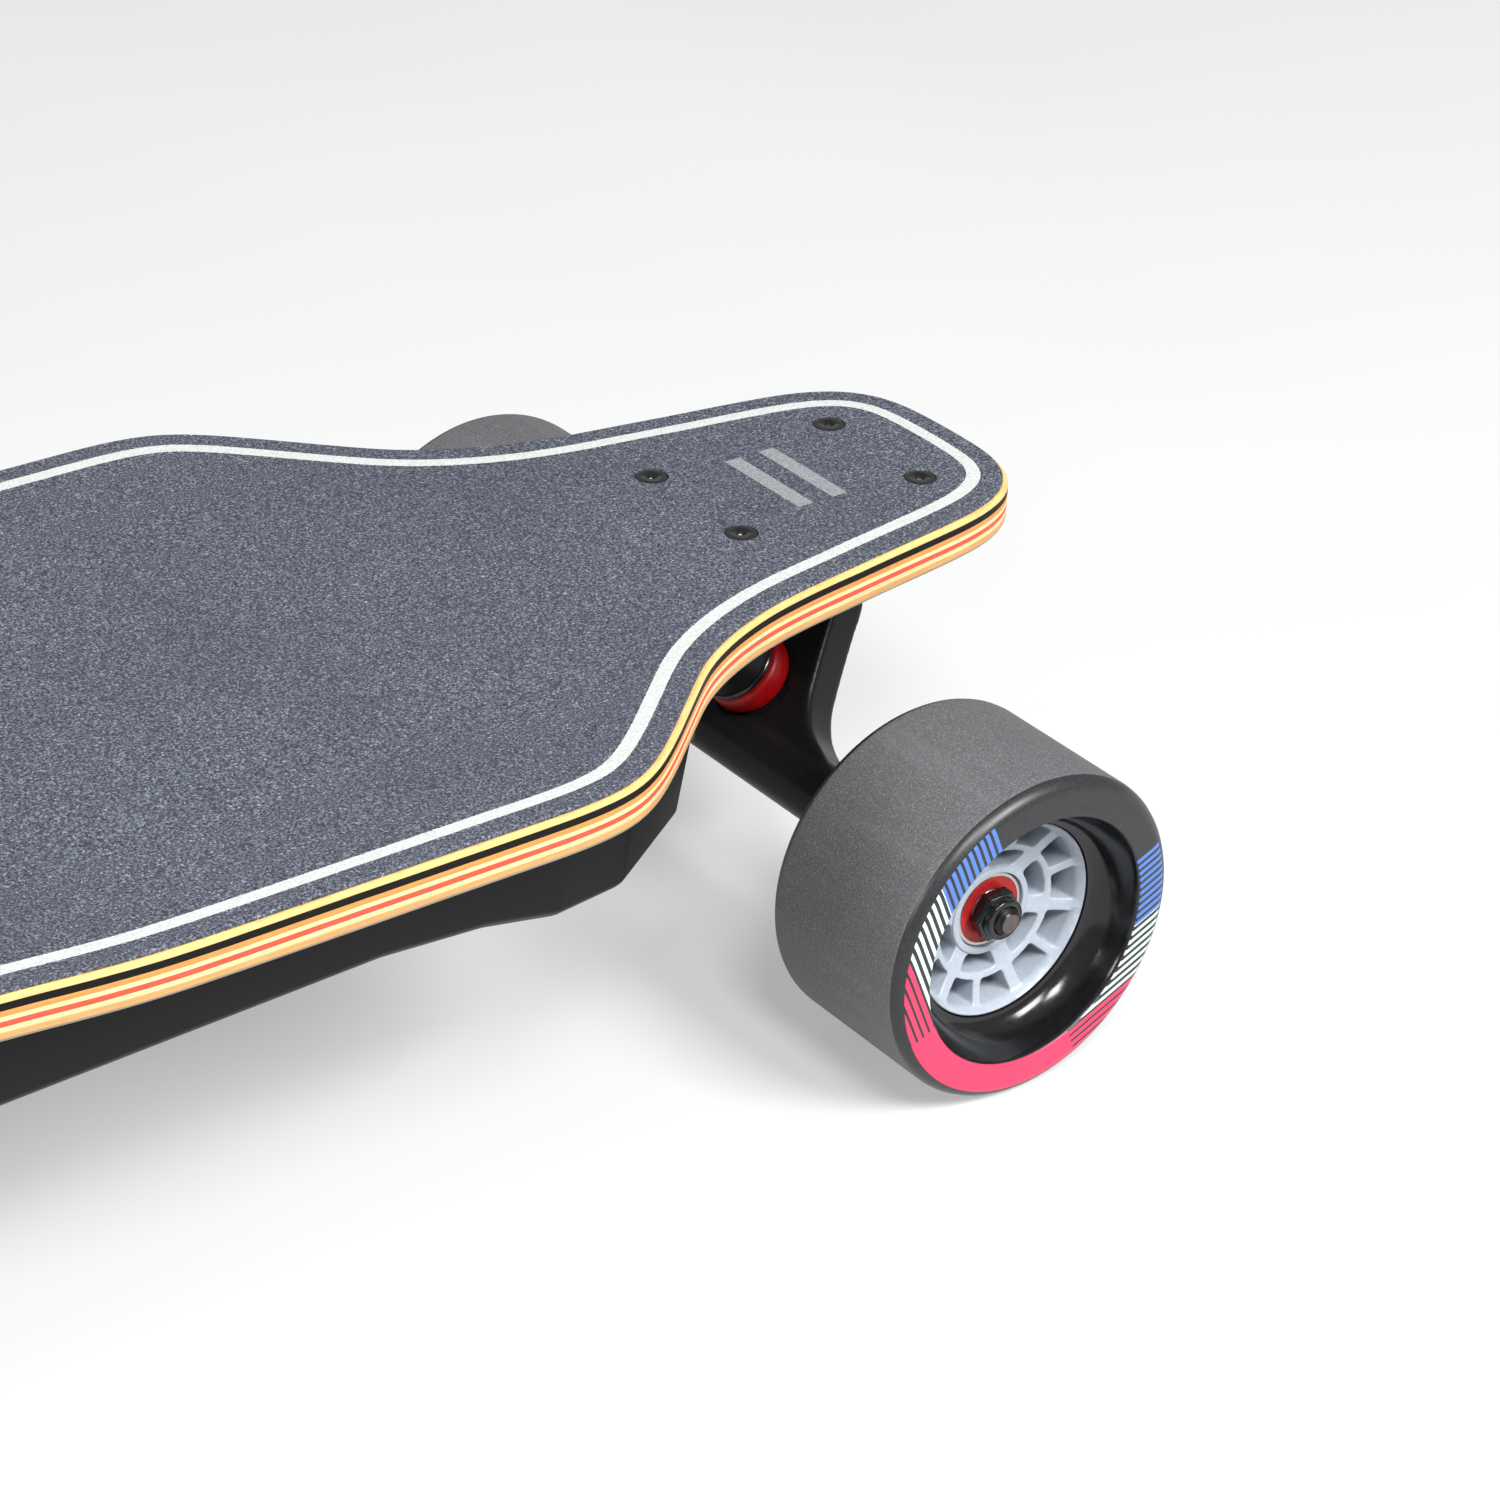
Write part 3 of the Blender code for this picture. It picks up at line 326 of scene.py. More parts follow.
def make_copper():
    """Enamelled copper windings, as fine turns, round a steel shaft on the rear axle."""
    shade = Shade("copper_winding", Metallic=0.9)
    shaft_radius = 8.5 * MM
    turns = shade.add("TexWave", {"Vector": shade.place, "Scale": 320.0, "Distortion": 0.6},
                      bands_direction="Y").outputs["Fac"]
    windings = shade.ramp(turns, ((0.1, (0.22, 0.09, 0.035)), (0.8, (0.72, 0.34, 0.16))))
    x, _, z = shade.split(shade.place)
    radius = shade.length(shade.math("ADD", x, HALF_AXLES),
                          shade.math("SUBTRACT", z, AXLE_HEIGHT))
    is_shaft = shade.math("LESS_THAN", radius, shaft_radius)
    shade.color(shade.mix(is_shaft, windings, (0.16, 0.155, 0.15)))
    shade.rough(shade.spread(turns, 0.25, 0.45))
    shade.bump(turns, 0.5, 0.2 * MM)
    return shade.material


PLY = make_ply()
GRIP = make_grip()
PRINT = make_print()
TREAD = make_tread()
COPPER = make_copper()
CORE_GREY = surface("core_grey", (0.29, 0.325, 0.375), (0.345, 0.38, 0.43), (0.30, 0.42), 900.0,
                    0.08, 0.05 * MM, 70.0, Subsurface_Weight=0.03, Subsurface_Scale=2 * MM)
CAVITY = surface("gloss_urethane", (0.004, 0.004, 0.0045), (0.007, 0.007, 0.0075), (0.13, 0.20),
                 500.0, 0.03, 0.03 * MM, Specular_IOR_Level=0.42)
# Matt dark urethane of the tyres' backs, also put on the cores' back webs as painted shade at
# the bottoms of their windows.
CAVITY_MATT = surface("dark_urethane_and_painted_shade", (0.010, 0.010, 0.011), (0.018, 0.018, 0.019),
                      (0.35, 0.50), 900.0, 0.12, 0.05 * MM)
CHARCOAL = surface("charcoal_plastic", (0.0055, 0.0055, 0.0065), (0.0095, 0.0095, 0.011),
                   (0.36, 0.50), 1500.0, 0.25, 0.06 * MM, Specular_IOR_Level=0.09)
RUBBER = surface("seal_rubber", (0.008, 0.008, 0.008), (0.016, 0.016, 0.017), (0.60, 0.85),
                 1100.0, 0.25)
CELL_WRAP = surface("cell_wrap", (0.02, 0.06, 0.20), (0.04, 0.11, 0.34), (0.28, 0.42),
                    260.0, 0.3, 0.2 * MM)
HEAT_SINK = surface("controller_alloy", (0.26, 0.26, 0.28), (0.38, 0.38, 0.40), (0.30, 0.46),
                    1300.0, 0.2, 0.05 * MM, Metallic=0.9)
SATIN_BLACK = surface("satin_black_alloy", (0.0045, 0.0045, 0.005), (0.008, 0.008, 0.0085),
                      (0.30, 0.42), 1700.0, 0.22, 0.05 * MM, Specular_IOR_Level=0.15)
GLOSS_BLACK = surface("gloss_black_steel", (0.003, 0.003, 0.003), (0.005, 0.005, 0.0055),
                      (0.12, 0.20), 700.0, 0.04, 0.03 * MM, Specular_IOR_Level=0.5)
BLACK_STEEL = surface("black_steel", (0.004, 0.004, 0.004), (0.008, 0.008, 0.008),
                      (0.24, 0.36), 1200.0, 0.15, 0.05 * MM, Specular_IOR_Level=0.28)
BRIGHT_STEEL = surface("bright_steel", (0.44, 0.43, 0.41), (0.56, 0.55, 0.53), (0.24, 0.36),
                       1500.0, 0.08, 0.03 * MM, Metallic=1.0)
AXLE_STEEL = surface("axle_steel", (0.09, 0.075, 0.065), (0.18, 0.15, 0.13), (0.26, 0.42),
                     1000.0, 0.12, 0.04 * MM, Metallic=1.0)
RED_URETHANE = surface("red_urethane", (0.18, 0.0006, 0.0012), (0.25, 0.0010, 0.0020),
                       (0.32, 0.44), 500.0, 0.08, 0.05 * MM, Specular_IOR_Level=0.3)
RED_SHIELD = surface("red_shield", (0.26, 0.009, 0.009), (0.34, 0.014, 0.012), (0.30, 0.45),
                     900.0, 0.15, 0.04 * MM, Specular_IOR_Level=0.3)


# Geometry helpers

def mm(points):
    """Turn points given in millimetres into metres."""
    return [(x * MM, y * MM) for x, y in points]


def move(x, y, z):
    """Return the matrix of a move."""
    return Matrix.Translation((x, y, z))


def turn(degrees, axis):
    """Return the matrix of a turn."""
    return Matrix.Rotation(math.radians(degrees), 4, axis)


def polar(radius, angle):
    """Return the point at a radius and an angle."""
    return radius * math.cos(angle), radius * math.sin(angle)


def circle(radius, steps=48):
    """Return the points of a circle."""
    return [polar(radius, 2 * math.pi * step / steps) for step in range(steps)]


def hexagon(corner):
    """Return the points of a hexagon by its corner radius."""
    return circle(corner, 6)


def quarter_turn(steps):
    """Return (1 - sine, 1 - cosine) of even angles from 0 to 90 degrees."""
    angles = [math.pi / 2 * step / steps for step in range(steps + 1)]
    return [(1 - math.sin(angle), 1 - math.cos(angle)) for angle in angles]


def lookup(points, x):
    """Return y at x on a line through points, level past its ends."""
    before = points[0]
    for point in points:
        if x <= point[0]:
            share = (x - before[0]) / (point[0] - before[0]) if point != before else 0.0
            return before[1] + share * (point[1] - before[1])
        before = point
    return before[1]


def smooth_curve(points, steps):
    """Run a Catmull-Rom curve through points and return it as a denser list."""
    padded = [Vector(point) for point in (points[0], *points, points[-1])]
    dense = []
    for a, b, c, d in zip(padded, padded[1:], padded[2:], padded[3:]):
        for step in range(steps):
            u = step / steps
            dense.append(tuple(0.5 * (2 * b + (c - a) * u + (2 * a - 5 * b + 4 * c - d) * u * u
                                      + (3 * b - a - 3 * c + d) * u ** 3)))
    return dense + [tuple(points[-1])]


def added(name, data):
    """Add an object to the scene."""
    obj = bpy.data.objects.new(name, data)
    bpy.context.scene.collection.objects.link(obj)
    return obj


def evaluated_mesh(obj):
    """Return the mesh that an object's curve or modifiers make."""
    bpy.context.view_layer.update()
    graph = bpy.context.evaluated_depsgraph_get()
    return bpy.data.meshes.new_from_object(obj.evaluated_get(graph))


def shown(name, bm, materials, place=None, smooth=35):
    """Turn a bmesh in its own frame into a shown object in the row frame."""
    bmesh.ops.recalc_face_normals(bm, faces=bm.faces)
    mesh = bpy.data.meshes.new(name)
    bm.to_mesh(mesh)
    bm.free()
    if place is not None:
        mesh.transform(place)
    for material in materials if isinstance(materials, (list, tuple)) else [materials]:
        mesh.materials.append(material)
    mesh.shade_smooth()
    mesh.set_sharp_from_angle(angle=math.radians(smooth))
    return added(name, mesh)


def skin(bm, rings, capped=False):
    """Join rings of vertices with faces, in order. A ring of one vertex is a tip."""
    for ring, following in zip(rings, rings[1:]):
        count = max(len(ring), len(following))
        for step in range(count):
            after = (step + 1) % count
            corners = [ring[step % len(ring)], ring[after % len(ring)],
                       following[after % len(following)], following[step % len(following)]]
            bm.faces.new(list(dict.fromkeys(corners)))
    if capped:
        bm.faces.new(list(reversed(rings[0])))
        bm.faces.new(rings[-1])


def softened(points, radius, closed=True, steps=3):
    """Round the corners of a flat outline. The radius is one number, or one per corner."""
    count = len(points)
    radii = [radius] * count if isinstance(radius, (int, float)) else radius
    result = []
    for index, corner in enumerate(points):
        corner = Vector(corner)
        if radii[index] <= 0 or (not closed and index in (0, count - 1)):
            result.append(tuple(corner))
            continue
        before = Vector(points[index - 1]) - corner
        after = Vector(points[(index + 1) % count]) - corner
        reach = min(radii[index], 0.45 * before.length, 0.45 * after.length)
        start = corner + before.normalized() * reach
        end = corner + after.normalized() * reach
        for step in range(steps + 1):
            u = step / steps
            result.append(tuple(start * (1 - u) ** 2 + corner * 2 * u * (1 - u) + end * u * u))
    return result


def lathe(name, profile, place, materials, segments=96, closed=True, smooth=35, slot=None):
    """Turn a profile of (radius, height) points about the frame's Z axis.

    A closed profile is a ring. An open one starts and ends on the axis. Slot gives the
    material's number from a face's centre.
    """
    bm = bmesh.new()
    rings = []
    for radius, height in profile:
        points = circle(radius, segments) if radius > 0.0 else [(0.0, 0.0)]
        rings.append([bm.verts.new((*point, height)) for point in points])
    skin(bm, [*rings, rings[0]] if closed else rings)
    if slot is not None:
        for face in bm.faces:
            middle = face.calc_center_median()
            face.material_index = slot(math.hypot(middle.x, middle.y), middle.z)
    return shown(name, bm, materials, place, smooth)


def curve_mesh(name, loops, low, high, bevel):
    """Return the mesh of a flat shape with holes, extruded in Z with rounded edges."""
    curve = bpy.data.curves.new(name, "CURVE")
    curve.dimensions = "2D"
    curve.fill_mode = "BOTH"
    curve.extrude = (high - low) / 2 - bevel
    curve.bevel_depth = bevel
    curve.bevel_resolution = 2
    curve.offset = -bevel
    for loop in loops:
        spline = curve.splines.new("POLY")
        spline.points.add(len(loop) - 1)
        for point, (x, y) in zip(spline.points, loop):
            point.co = (x, y, 0.0, 1.0)
        spline.use_cyclic_u = True
    flat = added(name, curve)
    bm = bmesh.new()
    bm.from_mesh(evaluated_mesh(flat))
    bpy.data.objects.remove(flat)
    bmesh.ops.remove_doubles(bm, verts=bm.verts, dist=0.00001)
    bmesh.ops.translate(bm, vec=(0.0, 0.0, (low + high) / 2), verts=bm.verts)
    return bm


def plate(name, loops, low, high, place, materials, bevel=0.4 * MM, smooth=35):
    """Make a flat shape with holes, extruded along its frame's Z, with rounded edges."""
    return shown(name, curve_mesh(name, loops, low, high, bevel), materials, place, smooth)


def tool(name, radius, low, high, place, steps=48):
    """Make a closed cylinder to cut with."""
    bm = bmesh.new()
    bmesh.ops.create_cone(bm, cap_ends=True, segments=steps, radius1=radius,
                          radius2=radius, depth=high - low)
    bmesh.ops.translate(bm, vec=(0.0, 0.0, (low + high) / 2), verts=bm.verts)
    return shown(name, bm, [], place)


def apply_modifiers(obj):
    """Replace an object's mesh with what its modifiers make of it."""
    mesh = evaluated_mesh(obj)
    obj.modifiers.clear()
    obj.data = mesh


def cut(obj, *tools, operation="DIFFERENCE"):
    """Cut closed tools away from an object, or unite them with it, and remove them."""
    for other in tools:
        modifier = obj.modifiers.new("cut", "BOOLEAN")
        modifier.operation = operation
        modifier.object = other
        modifier.solver = "EXACT"
        modifier.material_mode = "TRANSFER"
    apply_modifiers(obj)
    for other in tools:
        bpy.data.objects.remove(other)


def joined(name, pieces, material):
    """Join pieces into one object, as they are."""
    bm = bmesh.new()
    for piece in pieces:
        bm.from_mesh(piece.data)
        bpy.data.objects.remove(piece)
    return shown(name, bm, material)


def cast(name, pieces, material, voxel, rounds):
    """Fuse closed pieces into one casting, with small fillets where they meet."""
    obj = joined(name, pieces, material)
    remesh = obj.modifiers.new("fuse", "REMESH")
    remesh.mode = "VOXEL"
    remesh.voxel_size = voxel
    remesh.use_smooth_shade = True
    soften = obj.modifiers.new("soften", "SMOOTH")
    soften.factor = 0.5
    soften.iterations = rounds
    apply_modifiers(obj)
    obj.data.materials.clear()
    obj.data.materials.append(material)
    obj.data.shade_smooth()
    return obj


def shipped(obj, body, slot, *nodes):
    """Fix a piece to its body, and hide the CAD nodes that it stands for."""
    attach(obj, body)
    if nodes:
        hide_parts(*nodes)


def turned(name, profile, place, material, ship, soft=0.0, segments=48, closed=True):
    """Make and ship a turned piece from a profile in millimetres with softened corners.

    Ship is the piece's body, its slot and the CAD nodes that it stands for.
    """
    outline = mm(softened(profile, soft, closed))
    shipped(lathe(name, outline, place, material, segments, closed), *ship)


# Frames of reference, as in the CAD

HANGER_ANGLE = 46
KINGPIN_PLACE = 17.2 * MM


def truck_frame(end):
    """Return the frame of a truck: 1 is the front, -1 the rear, turned half round."""
    return move(end * HALF_AXLES, 0.0, AXLE_HEIGHT) @ turn(90 - 90 * end, "Z")


def kingpin_frame(end, along=0.0):
    """Return a frame on the hanger's face, with +Z along the kingpin to the deck."""
    return truck_frame(end) @ turn(-HANGER_ANGLE, "Y") @ move(along, 0.0, 0.0)


def pivot_frame(end):
    """Return the frame of the pivot, with +Z from the axle up the hanger's face."""
    return kingpin_frame(end) @ turn(90, "Y")


def wheel_frame(end, side):
    """Return the frame of a wheel, with +Z outwards along the axle."""
    return move(end * HALF_AXLES, 0.0, AXLE_HEIGHT) @ turn(-90 * side, "X")


# Deck and grip

def rise(y):
    """Return how far the concave lifts the deck at a distance from its middle."""
    reach = max(0.0, abs(y) - FLAT_HALF_WIDTH)
    return CONCAVE_RISE * (reach / (WIDEST_HALF_WIDTH - FLAT_HALF_WIDTH)) ** 2


def fair_outline():
    """Return the board's half outline as evenly spaced, smoothed points."""
    dense = [Vector(point) * MM for point in smooth_curve(OUTLINE, 12)]
    even = [dense[0]]
    walked = 0.0
    for before, after in zip(dense, dense[1:]):
        walked += (after - before).length
        if walked >= OUTLINE_SPACING:
            even.append(after)
            walked = 0.0
    if (even[-1] - dense[-1]).length > OUTLINE_SPACING / 2:
        even.append(dense[-1])
    else:
        even[-1] = dense[-1]
    for _ in range(4):
        inner = [(a + 2 * b + c) / 4 for a, b, c in zip(even, even[1:], even[2:])]
        even = [even[0], *inner, even[-1]]
    return even


def board_loop(outline, inset):
    """Return the whole board's outline as (x, y) points, drawn in by an inset."""
    quarter = []
    for index, point in enumerate(outline):
        before = outline[max(index - 1, 0)]
        after = outline[min(index + 1, len(outline) - 1)]
        along = (after - before).normalized()
        if index == len(outline) - 1:
            along = Vector((-1.0, 0.0))
        quarter.append((HALF_AXLES + point.x - along.y * inset, point.y + along.x * inset))
    near_right = [(x, -y) for x, y in quarter]
    far_right = [(-x, -y) for x, y in reversed(quarter[:-1])]
    left = [(x, -y) for x, y in reversed(near_right + far_right)]
    return near_right + far_right + left


def flatten_faces(obj):
    """Shade an object's near-level faces flat, since long thin ones shade badly smooth."""
    for face in obj.data.polygons:
        if abs(face.normal.z) > 0.995:
            face.use_smooth = False


def board_sheet(name, levels, material):
    """Skin rings of (inset, height), close them, and bend the result to the concave.

    The UV map holds the inset over UV_SPAN, and the share of the height.
    """
    outline = fair_outline()
    bm = bmesh.new()
    uv = bm.loops.layers.uv.new("UVMap")
    marks = {}
    rings = []
    low, high = levels[0][1], levels[-1][1]
    for inset, height in levels:
        ring = [bm.verts.new((x, y, height)) for x, y in board_loop(outline, inset)]
        for vert in ring:
            marks[vert] = (inset / UV_SPAN, (height - low) / (high - low))
        rings.append(ring)
    skin(bm, rings, capped=True)
    for face in bm.faces:
        for loop in face.loops:
            loop[uv].uv = marks[loop.vert]
    for line in CONCAVE_LINES:
        for sign in (1, -1):
            bmesh.ops.bisect_plane(bm, geom=bm.verts[:] + bm.edges[:] + bm.faces[:],
                                   plane_co=(0.0, sign * line * MM, 0.0),
                                   plane_no=(0.0, 1.0, 0.0), dist=0.000001)
    for vert in bm.verts:
        vert.co.z += rise(vert.co.y)
    bmesh.ops.triangulate(bm, faces=[face for face in bm.faces if len(face.verts) > 4])
    sheet = shown(name, bm, material, smooth=40)
    flatten_faces(sheet)
    return sheet


def bolt_places():
    """Return the place of each deck bolt as (name, x, y)."""
    places = []
    for end_name, end in ENDS:
        for row in ("outer", "inner"):
            for side_name, _ in SIDES:
                name = f"{end_name}_{row}_{side_name}_bolt"
                low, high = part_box(name)
                places.append((name, (low.x + high.x) / 2, (low.y + high.y) / 2))
    return places


def make_ply_board():
    """Make the ply with rounded edges and its bolt holes."""
    under, over, flat = 1.4 * MM, 1.2 * MM, 9 * MM
    levels = [(flat, PLY_BOTTOM)]
    levels += [(under * a, PLY_BOTTOM + under * b) for a, b in quarter_turn(4)]
    levels.append((0.0, (PLY_BOTTOM + PLY_TOP) / 2))
    levels += [(over * b, PLY_TOP - over * a) for a, b in quarter_turn(4)]
    levels.append((flat, PLY_TOP))
    ply = board_sheet("ply_deck", levels, PLY)
    past, shank = 1 * MM, 2.6 * MM
    hole = [(0.0, PLY_TOP + past), (HOLE_RADIUS, PLY_TOP + past), (HOLE_RADIUS, PLY_TOP),
            (shank, PLY_TOP - 3.0 * MM), (shank, PLY_BOTTOM - past), (0.0, PLY_BOTTOM - past)]
    drills = [lathe("drill", hole, move(x, y, 0.0), PLY, 32, closed=False)
              for _, x, y in bolt_places()]
    cut(ply, joined("ply_holes", drills, PLY))
    flatten_faces(ply)
    shipped(ply, "deck_body", "maple_ply", "deck")


def make_grip_sheet():
    """Make the grip with a rounded edge, and holes round the bolts."""
    edge, low = 1.6 * MM, PLY_TOP + 0.02 * MM
    levels = [(2.4 * MM, low), (edge, low), (edge, DECK_TOP - 0.35 * MM),
              (1.7 * MM, DECK_TOP - 0.12 * MM), (2.0 * MM, DECK_TOP), (6 * MM, DECK_TOP),
              (14 * MM, DECK_TOP)]
    grip = board_sheet("grip_sheet", levels, GRIP)
    punches = [tool("punch", HOLE_RADIUS, DECK_TOP - 2 * MM, DECK_TOP + 2 * MM,
                    move(x, y, 0.0), 40) for _, x, y in bolt_places()]
    cut(grip, joined("grip_holes", punches, GRIP))
    flatten_faces(grip)
    shipped(grip, "deck_body", "grip_tape", "grip_tape")


def make_bolts():
    """Make the eight countersunk hex-socket bolts and their nuts."""
    top = DECK_TOP + 0.05 * MM
    nut_top = PLATE_BOTTOM - GAP
    shank, socket = 2.4 * MM, 1.9 * MM
    for name, x, y in bolt_places():
        place = move(x, y, 0.0)
        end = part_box(name)[0].z
        profile = [(0.0, top), (HEAD_RADIUS - 1.15 * MM, top),
                   (HEAD_RADIUS - 0.35 * MM, top - 0.06 * MM), (HEAD_RADIUS, top - 0.35 * MM),
                   (shank, top - 3.2 * MM), (shank, end + 0.5 * MM), (1.9 * MM, end), (0.0, end)]
        bolt = lathe(f"{name}_shown", profile, place, GLOSS_BLACK, 40, closed=False)
        bm = bmesh.new()
        bmesh.ops.create_cone(bm, cap_ends=True, segments=6, radius1=0.3 * socket,
                              radius2=1.7 * socket, depth=5.4 * MM, matrix=move(0.0, 0.0, top))
        cut(bolt, shown("socket", bm, GLOSS_BLACK, place))
        shipped(bolt, "deck_body", "black_steel", name)
        nut = plate(f"{name}_nut", [hexagon(4.6 * MM), circle(2.5 * MM, 24)],
                    nut_top - 3.8 * MM, nut_top, place, BLACK_STEEL, 0.35 * MM)
        shipped(nut, "deck_body", "black_steel")


# Trucks

# The hanger's arm: distance along its face from the axle, and half width, in mm
ARM_OUTLINE = (
    (0.0, 52), (6, 45), (9.6, 38), (11.6, 32.9), (14, 28.5), (17.4, 24.8), (21.1, 21.8),
    (26.1, 19.1), (32.4, 16), (38, 13.4), (44, 10.7), (49, 8.7), (53, 6.4),
)
ARM_LOW, ARM_HIGH = -7.0 * MM, 6.4 * MM
# The axle housing: half widths, radius, and the angles of its corners
HOUSING_HALF_WIDTHS = {"front": 89 * MM, "rear": 78 * MM}
HOUSING_RADIUS = 9.9 * MM
HOUSING_CORNERS = (22, 62, 102, 150, 190, 226, 262, 298, 338)
# The neck and ball at the pivot: radius, and distance along the face, in mm
NECK = ((0.0, 68.4), (3.2, 67.6), (5.2, 65.4), (6.0, 62.5), (5.4, 59.8), (5.2, 57), (6.4, 52),
        (6.6, 44), (0.0, 42))


def make_hanger(name, end, half_width):
    """Make a hanger: faceted axle housing, tapered arm and pivot ball, cast as one."""
    face = kingpin_frame(end)
    kingpin = kingpin_frame(end, KINGPIN_PLACE)
    half = mm(smooth_curve(ARM_OUTLINE, 3))
    arm = [(along, -across) for along, across in half] + half[::-1]
    facets = [polar(HOUSING_RADIUS, math.radians(angle)) for angle in HOUSING_CORNERS]
    hanger = cast(f"{name}_truck_hanger", [
        plate("arm", [arm], ARM_LOW, ARM_HIGH, face, SATIN_BLACK, 1.2 * MM),
        plate("housing", [softened(facets, 3.2 * MM)], -half_width, half_width,
              face @ turn(90, "X"), SATIN_BLACK, 0.8 * MM),
        lathe("neck", mm(NECK), pivot_frame(end), SATIN_BLACK, 32, closed=False),
    ], SATIN_BLACK, 0.75 * MM, 4)
    pocket, reach = 13.4 * MM, 30 * MM
    cut(hanger,
        tool("upper_pocket", pocket, ARM_HIGH, reach, kingpin),
        tool("lower_pocket", pocket, -reach, ARM_LOW, kingpin),
        tool("kingpin_hole", 8.5 * MM, -20 * MM, 20 * MM, kingpin),
        tool("axle_bore", 4.3 * MM, -200 * MM, 200 * MM, wheel_frame(end, 1), 32))
    shipped(hanger, f"{name}_hanger_body", "satin_black", f"{name}_hanger")


# The baseplate's ribs from the side: distance outboard of the axle and height above it, in mm
SEAT_RIB = ((16, 58.7), (8.3, 33.9), (-2.5, 22.6), (-14.4, 34.1), (-5.7, 43.1), (-12, 58.7))
BOSS_RIB = ((25, 58.7), (36.5, 47), (48, 47), (57, 44), (57, 58.7))
WEB = ((-20, 58.7), (0, 50), (30, 50), (52, 58.7))


def make_baseplate(name, end):
    """Make a baseplate, with mounting plate, kingpin seat and pivot boss, and its riser pad."""
    here = truck_frame(end)
    seat = kingpin_frame(end, KINGPIN_PLACE)
    pivot = pivot_frame(end)
    low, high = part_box(f"{name}_baseplate")
    near, far = sorted((end * low.x - HALF_AXLES, end * high.x - HALF_AXLES))
    wide, top = high.y, high.z - AXLE_HEIGHT
    flat = softened(((near, -wide), (far, -wide), (far, wide), (near, wide)), 10 * MM, steps=8)

    def rib(outline, middle, half, bevel):
        """Make a rib from its side view, its place across the board and its half width."""
        return plate("rib", [mm(outline)], (middle - half) * MM, (middle + half) * MM,
                     here @ turn(90, "X"), SATIN_BLACK, bevel * MM)

    made = cast(f"{name}_truck_baseplate", [
        plate("flat", [flat], top - PLATE_THICKNESS, top, here, SATIN_BLACK, 1 * MM),
        rib(SEAT_RIB, 0, 11, 1), rib(BOSS_RIB, 0, 9, 1),
        tool("seat", 12.2 * MM, 17.6 * MM, 34 * MM, seat),
        tool("boss", 11 * MM, 58.6 * MM, 72.5 * MM, pivot),
        rib(WEB, 6, 1.5, 0.6), rib(WEB, -6, 1.5, 0.6),
    ], SATIN_BLACK, 0.8 * MM, 3)
    cut(made,
        tool("kingpin_bore", 5.05 * MM, 10 * MM, 50 * MM, seat, 32),
        tool("head_recess", 8.1 * MM, 25.7 * MM, 50 * MM, seat, 32),
        tool("cup_socket", 8.6 * MM, 40 * MM, 71.3 * MM, pivot, 32))
    shipped(made, "deck_body", "satin_black", f"{name}_baseplate")
    low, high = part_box(f"{name}_riser_pad")
    pad = plate(f"{name}_riser", [flat], low.z - AXLE_HEIGHT, high.z - AXLE_HEIGHT,
                here, RUBBER, 0.4 * MM)
    shipped(pad, "deck_body", "seal_rubber", f"{name}_riser_pad")


# The kingpin's stack. A profile is in mm: radius, and height along the kingpin from the
# hanger's face. A bushing also has its softness at the corners and the heights of its end
# at the deck's parts and its end at the hanger.
BUSHINGS = (
    ("boardside", 0.9, 15.0, 6.7, ((10.6, 15.0), (12.2, 14.2), (12.75, 11.8), (12.75, 9.0),
                                   (12.0, 6.7), (5.1, 6.7), (5.1, 15.0))),
    ("roadside", 0.7, -15.5, -7.3, ((11.2, -7.3), (12.5, -8.8), (11.9, -11.5), (10.5, -14.4),
                                    (9.4, -15.5), (5.1, -15.5), (5.1, -7.3))),
)
WASHERS = (
    ("boardside", ((11.5, 15.2), (12.2, 16.3), (11.5, 17.4), (9.0, 17.4), (5.1, 17.1),
                   (5.1, 15.2))),
    ("roadside", ((10.8, -15.8), (10.8, -17.2), (9.8, -17.8), (5.1, -17.8), (5.1, -15.8))),
)
PIVOT_CUP = ((8.3, 71.0), (8.3, 58.3), (10, 58.3), (10, 57), (6.4, 57), (6.4, 69.2),
             (0.5, 69.2), (0.5, 71.0))


def make_stack(name, end):
    """Make the kingpin, nut, bushings, cup washers and pivot cup of a truck."""
    seat = kingpin_frame(end, KINGPIN_PLACE)
    head = softened(((7.5, 31), (7.5, 26), (4.75, 26)), 0.6, closed=False)
    thread = [(4.75 if step % 2 else 4.35, -8.0 - 0.55 * step) for step in range(33)]
    turned(f"{name}_kingpin_shown", [(0.0, 31), *head, *thread, (3.6, -26.8), (0.0, -26.8)],
           seat, BLACK_STEEL, ("deck_body", "black_steel", f"{name}_kingpin"),
           segments=40, closed=False)
    nut = lock_nut(f"{name}_kingpin_nut_shown", 8.1 * MM, 5.0 * MM, 18.2 * MM, 24.6 * MM,
                   seat @ turn(180, "X"))
    shipped(nut, "deck_body", "black_steel", f"{name}_kingpin_nut")
    for place, soft, deck_end, hanger_end, profile in BUSHINGS:
        bushing = lathe(f"{name}_{place}_urethane", mm(softened(profile, soft)),
                        seat, RED_URETHANE, 64)
        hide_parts(f"{name}_{place}_bushing")
        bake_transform(bushing)
    for place, profile in WASHERS:
        turned(f"{name}_{place}_cup_washer", profile, seat, GLOSS_BLACK,
               ("deck_body", "black_steel", f"{name}_{place}_washer"), 0.5, 72)
    turned(f"{name}_pivot_urethane", PIVOT_CUP, pivot_frame(end), RED_URETHANE,
           ("deck_body", "red_urethane", f"{name}_pivot_cup"), 0.4)


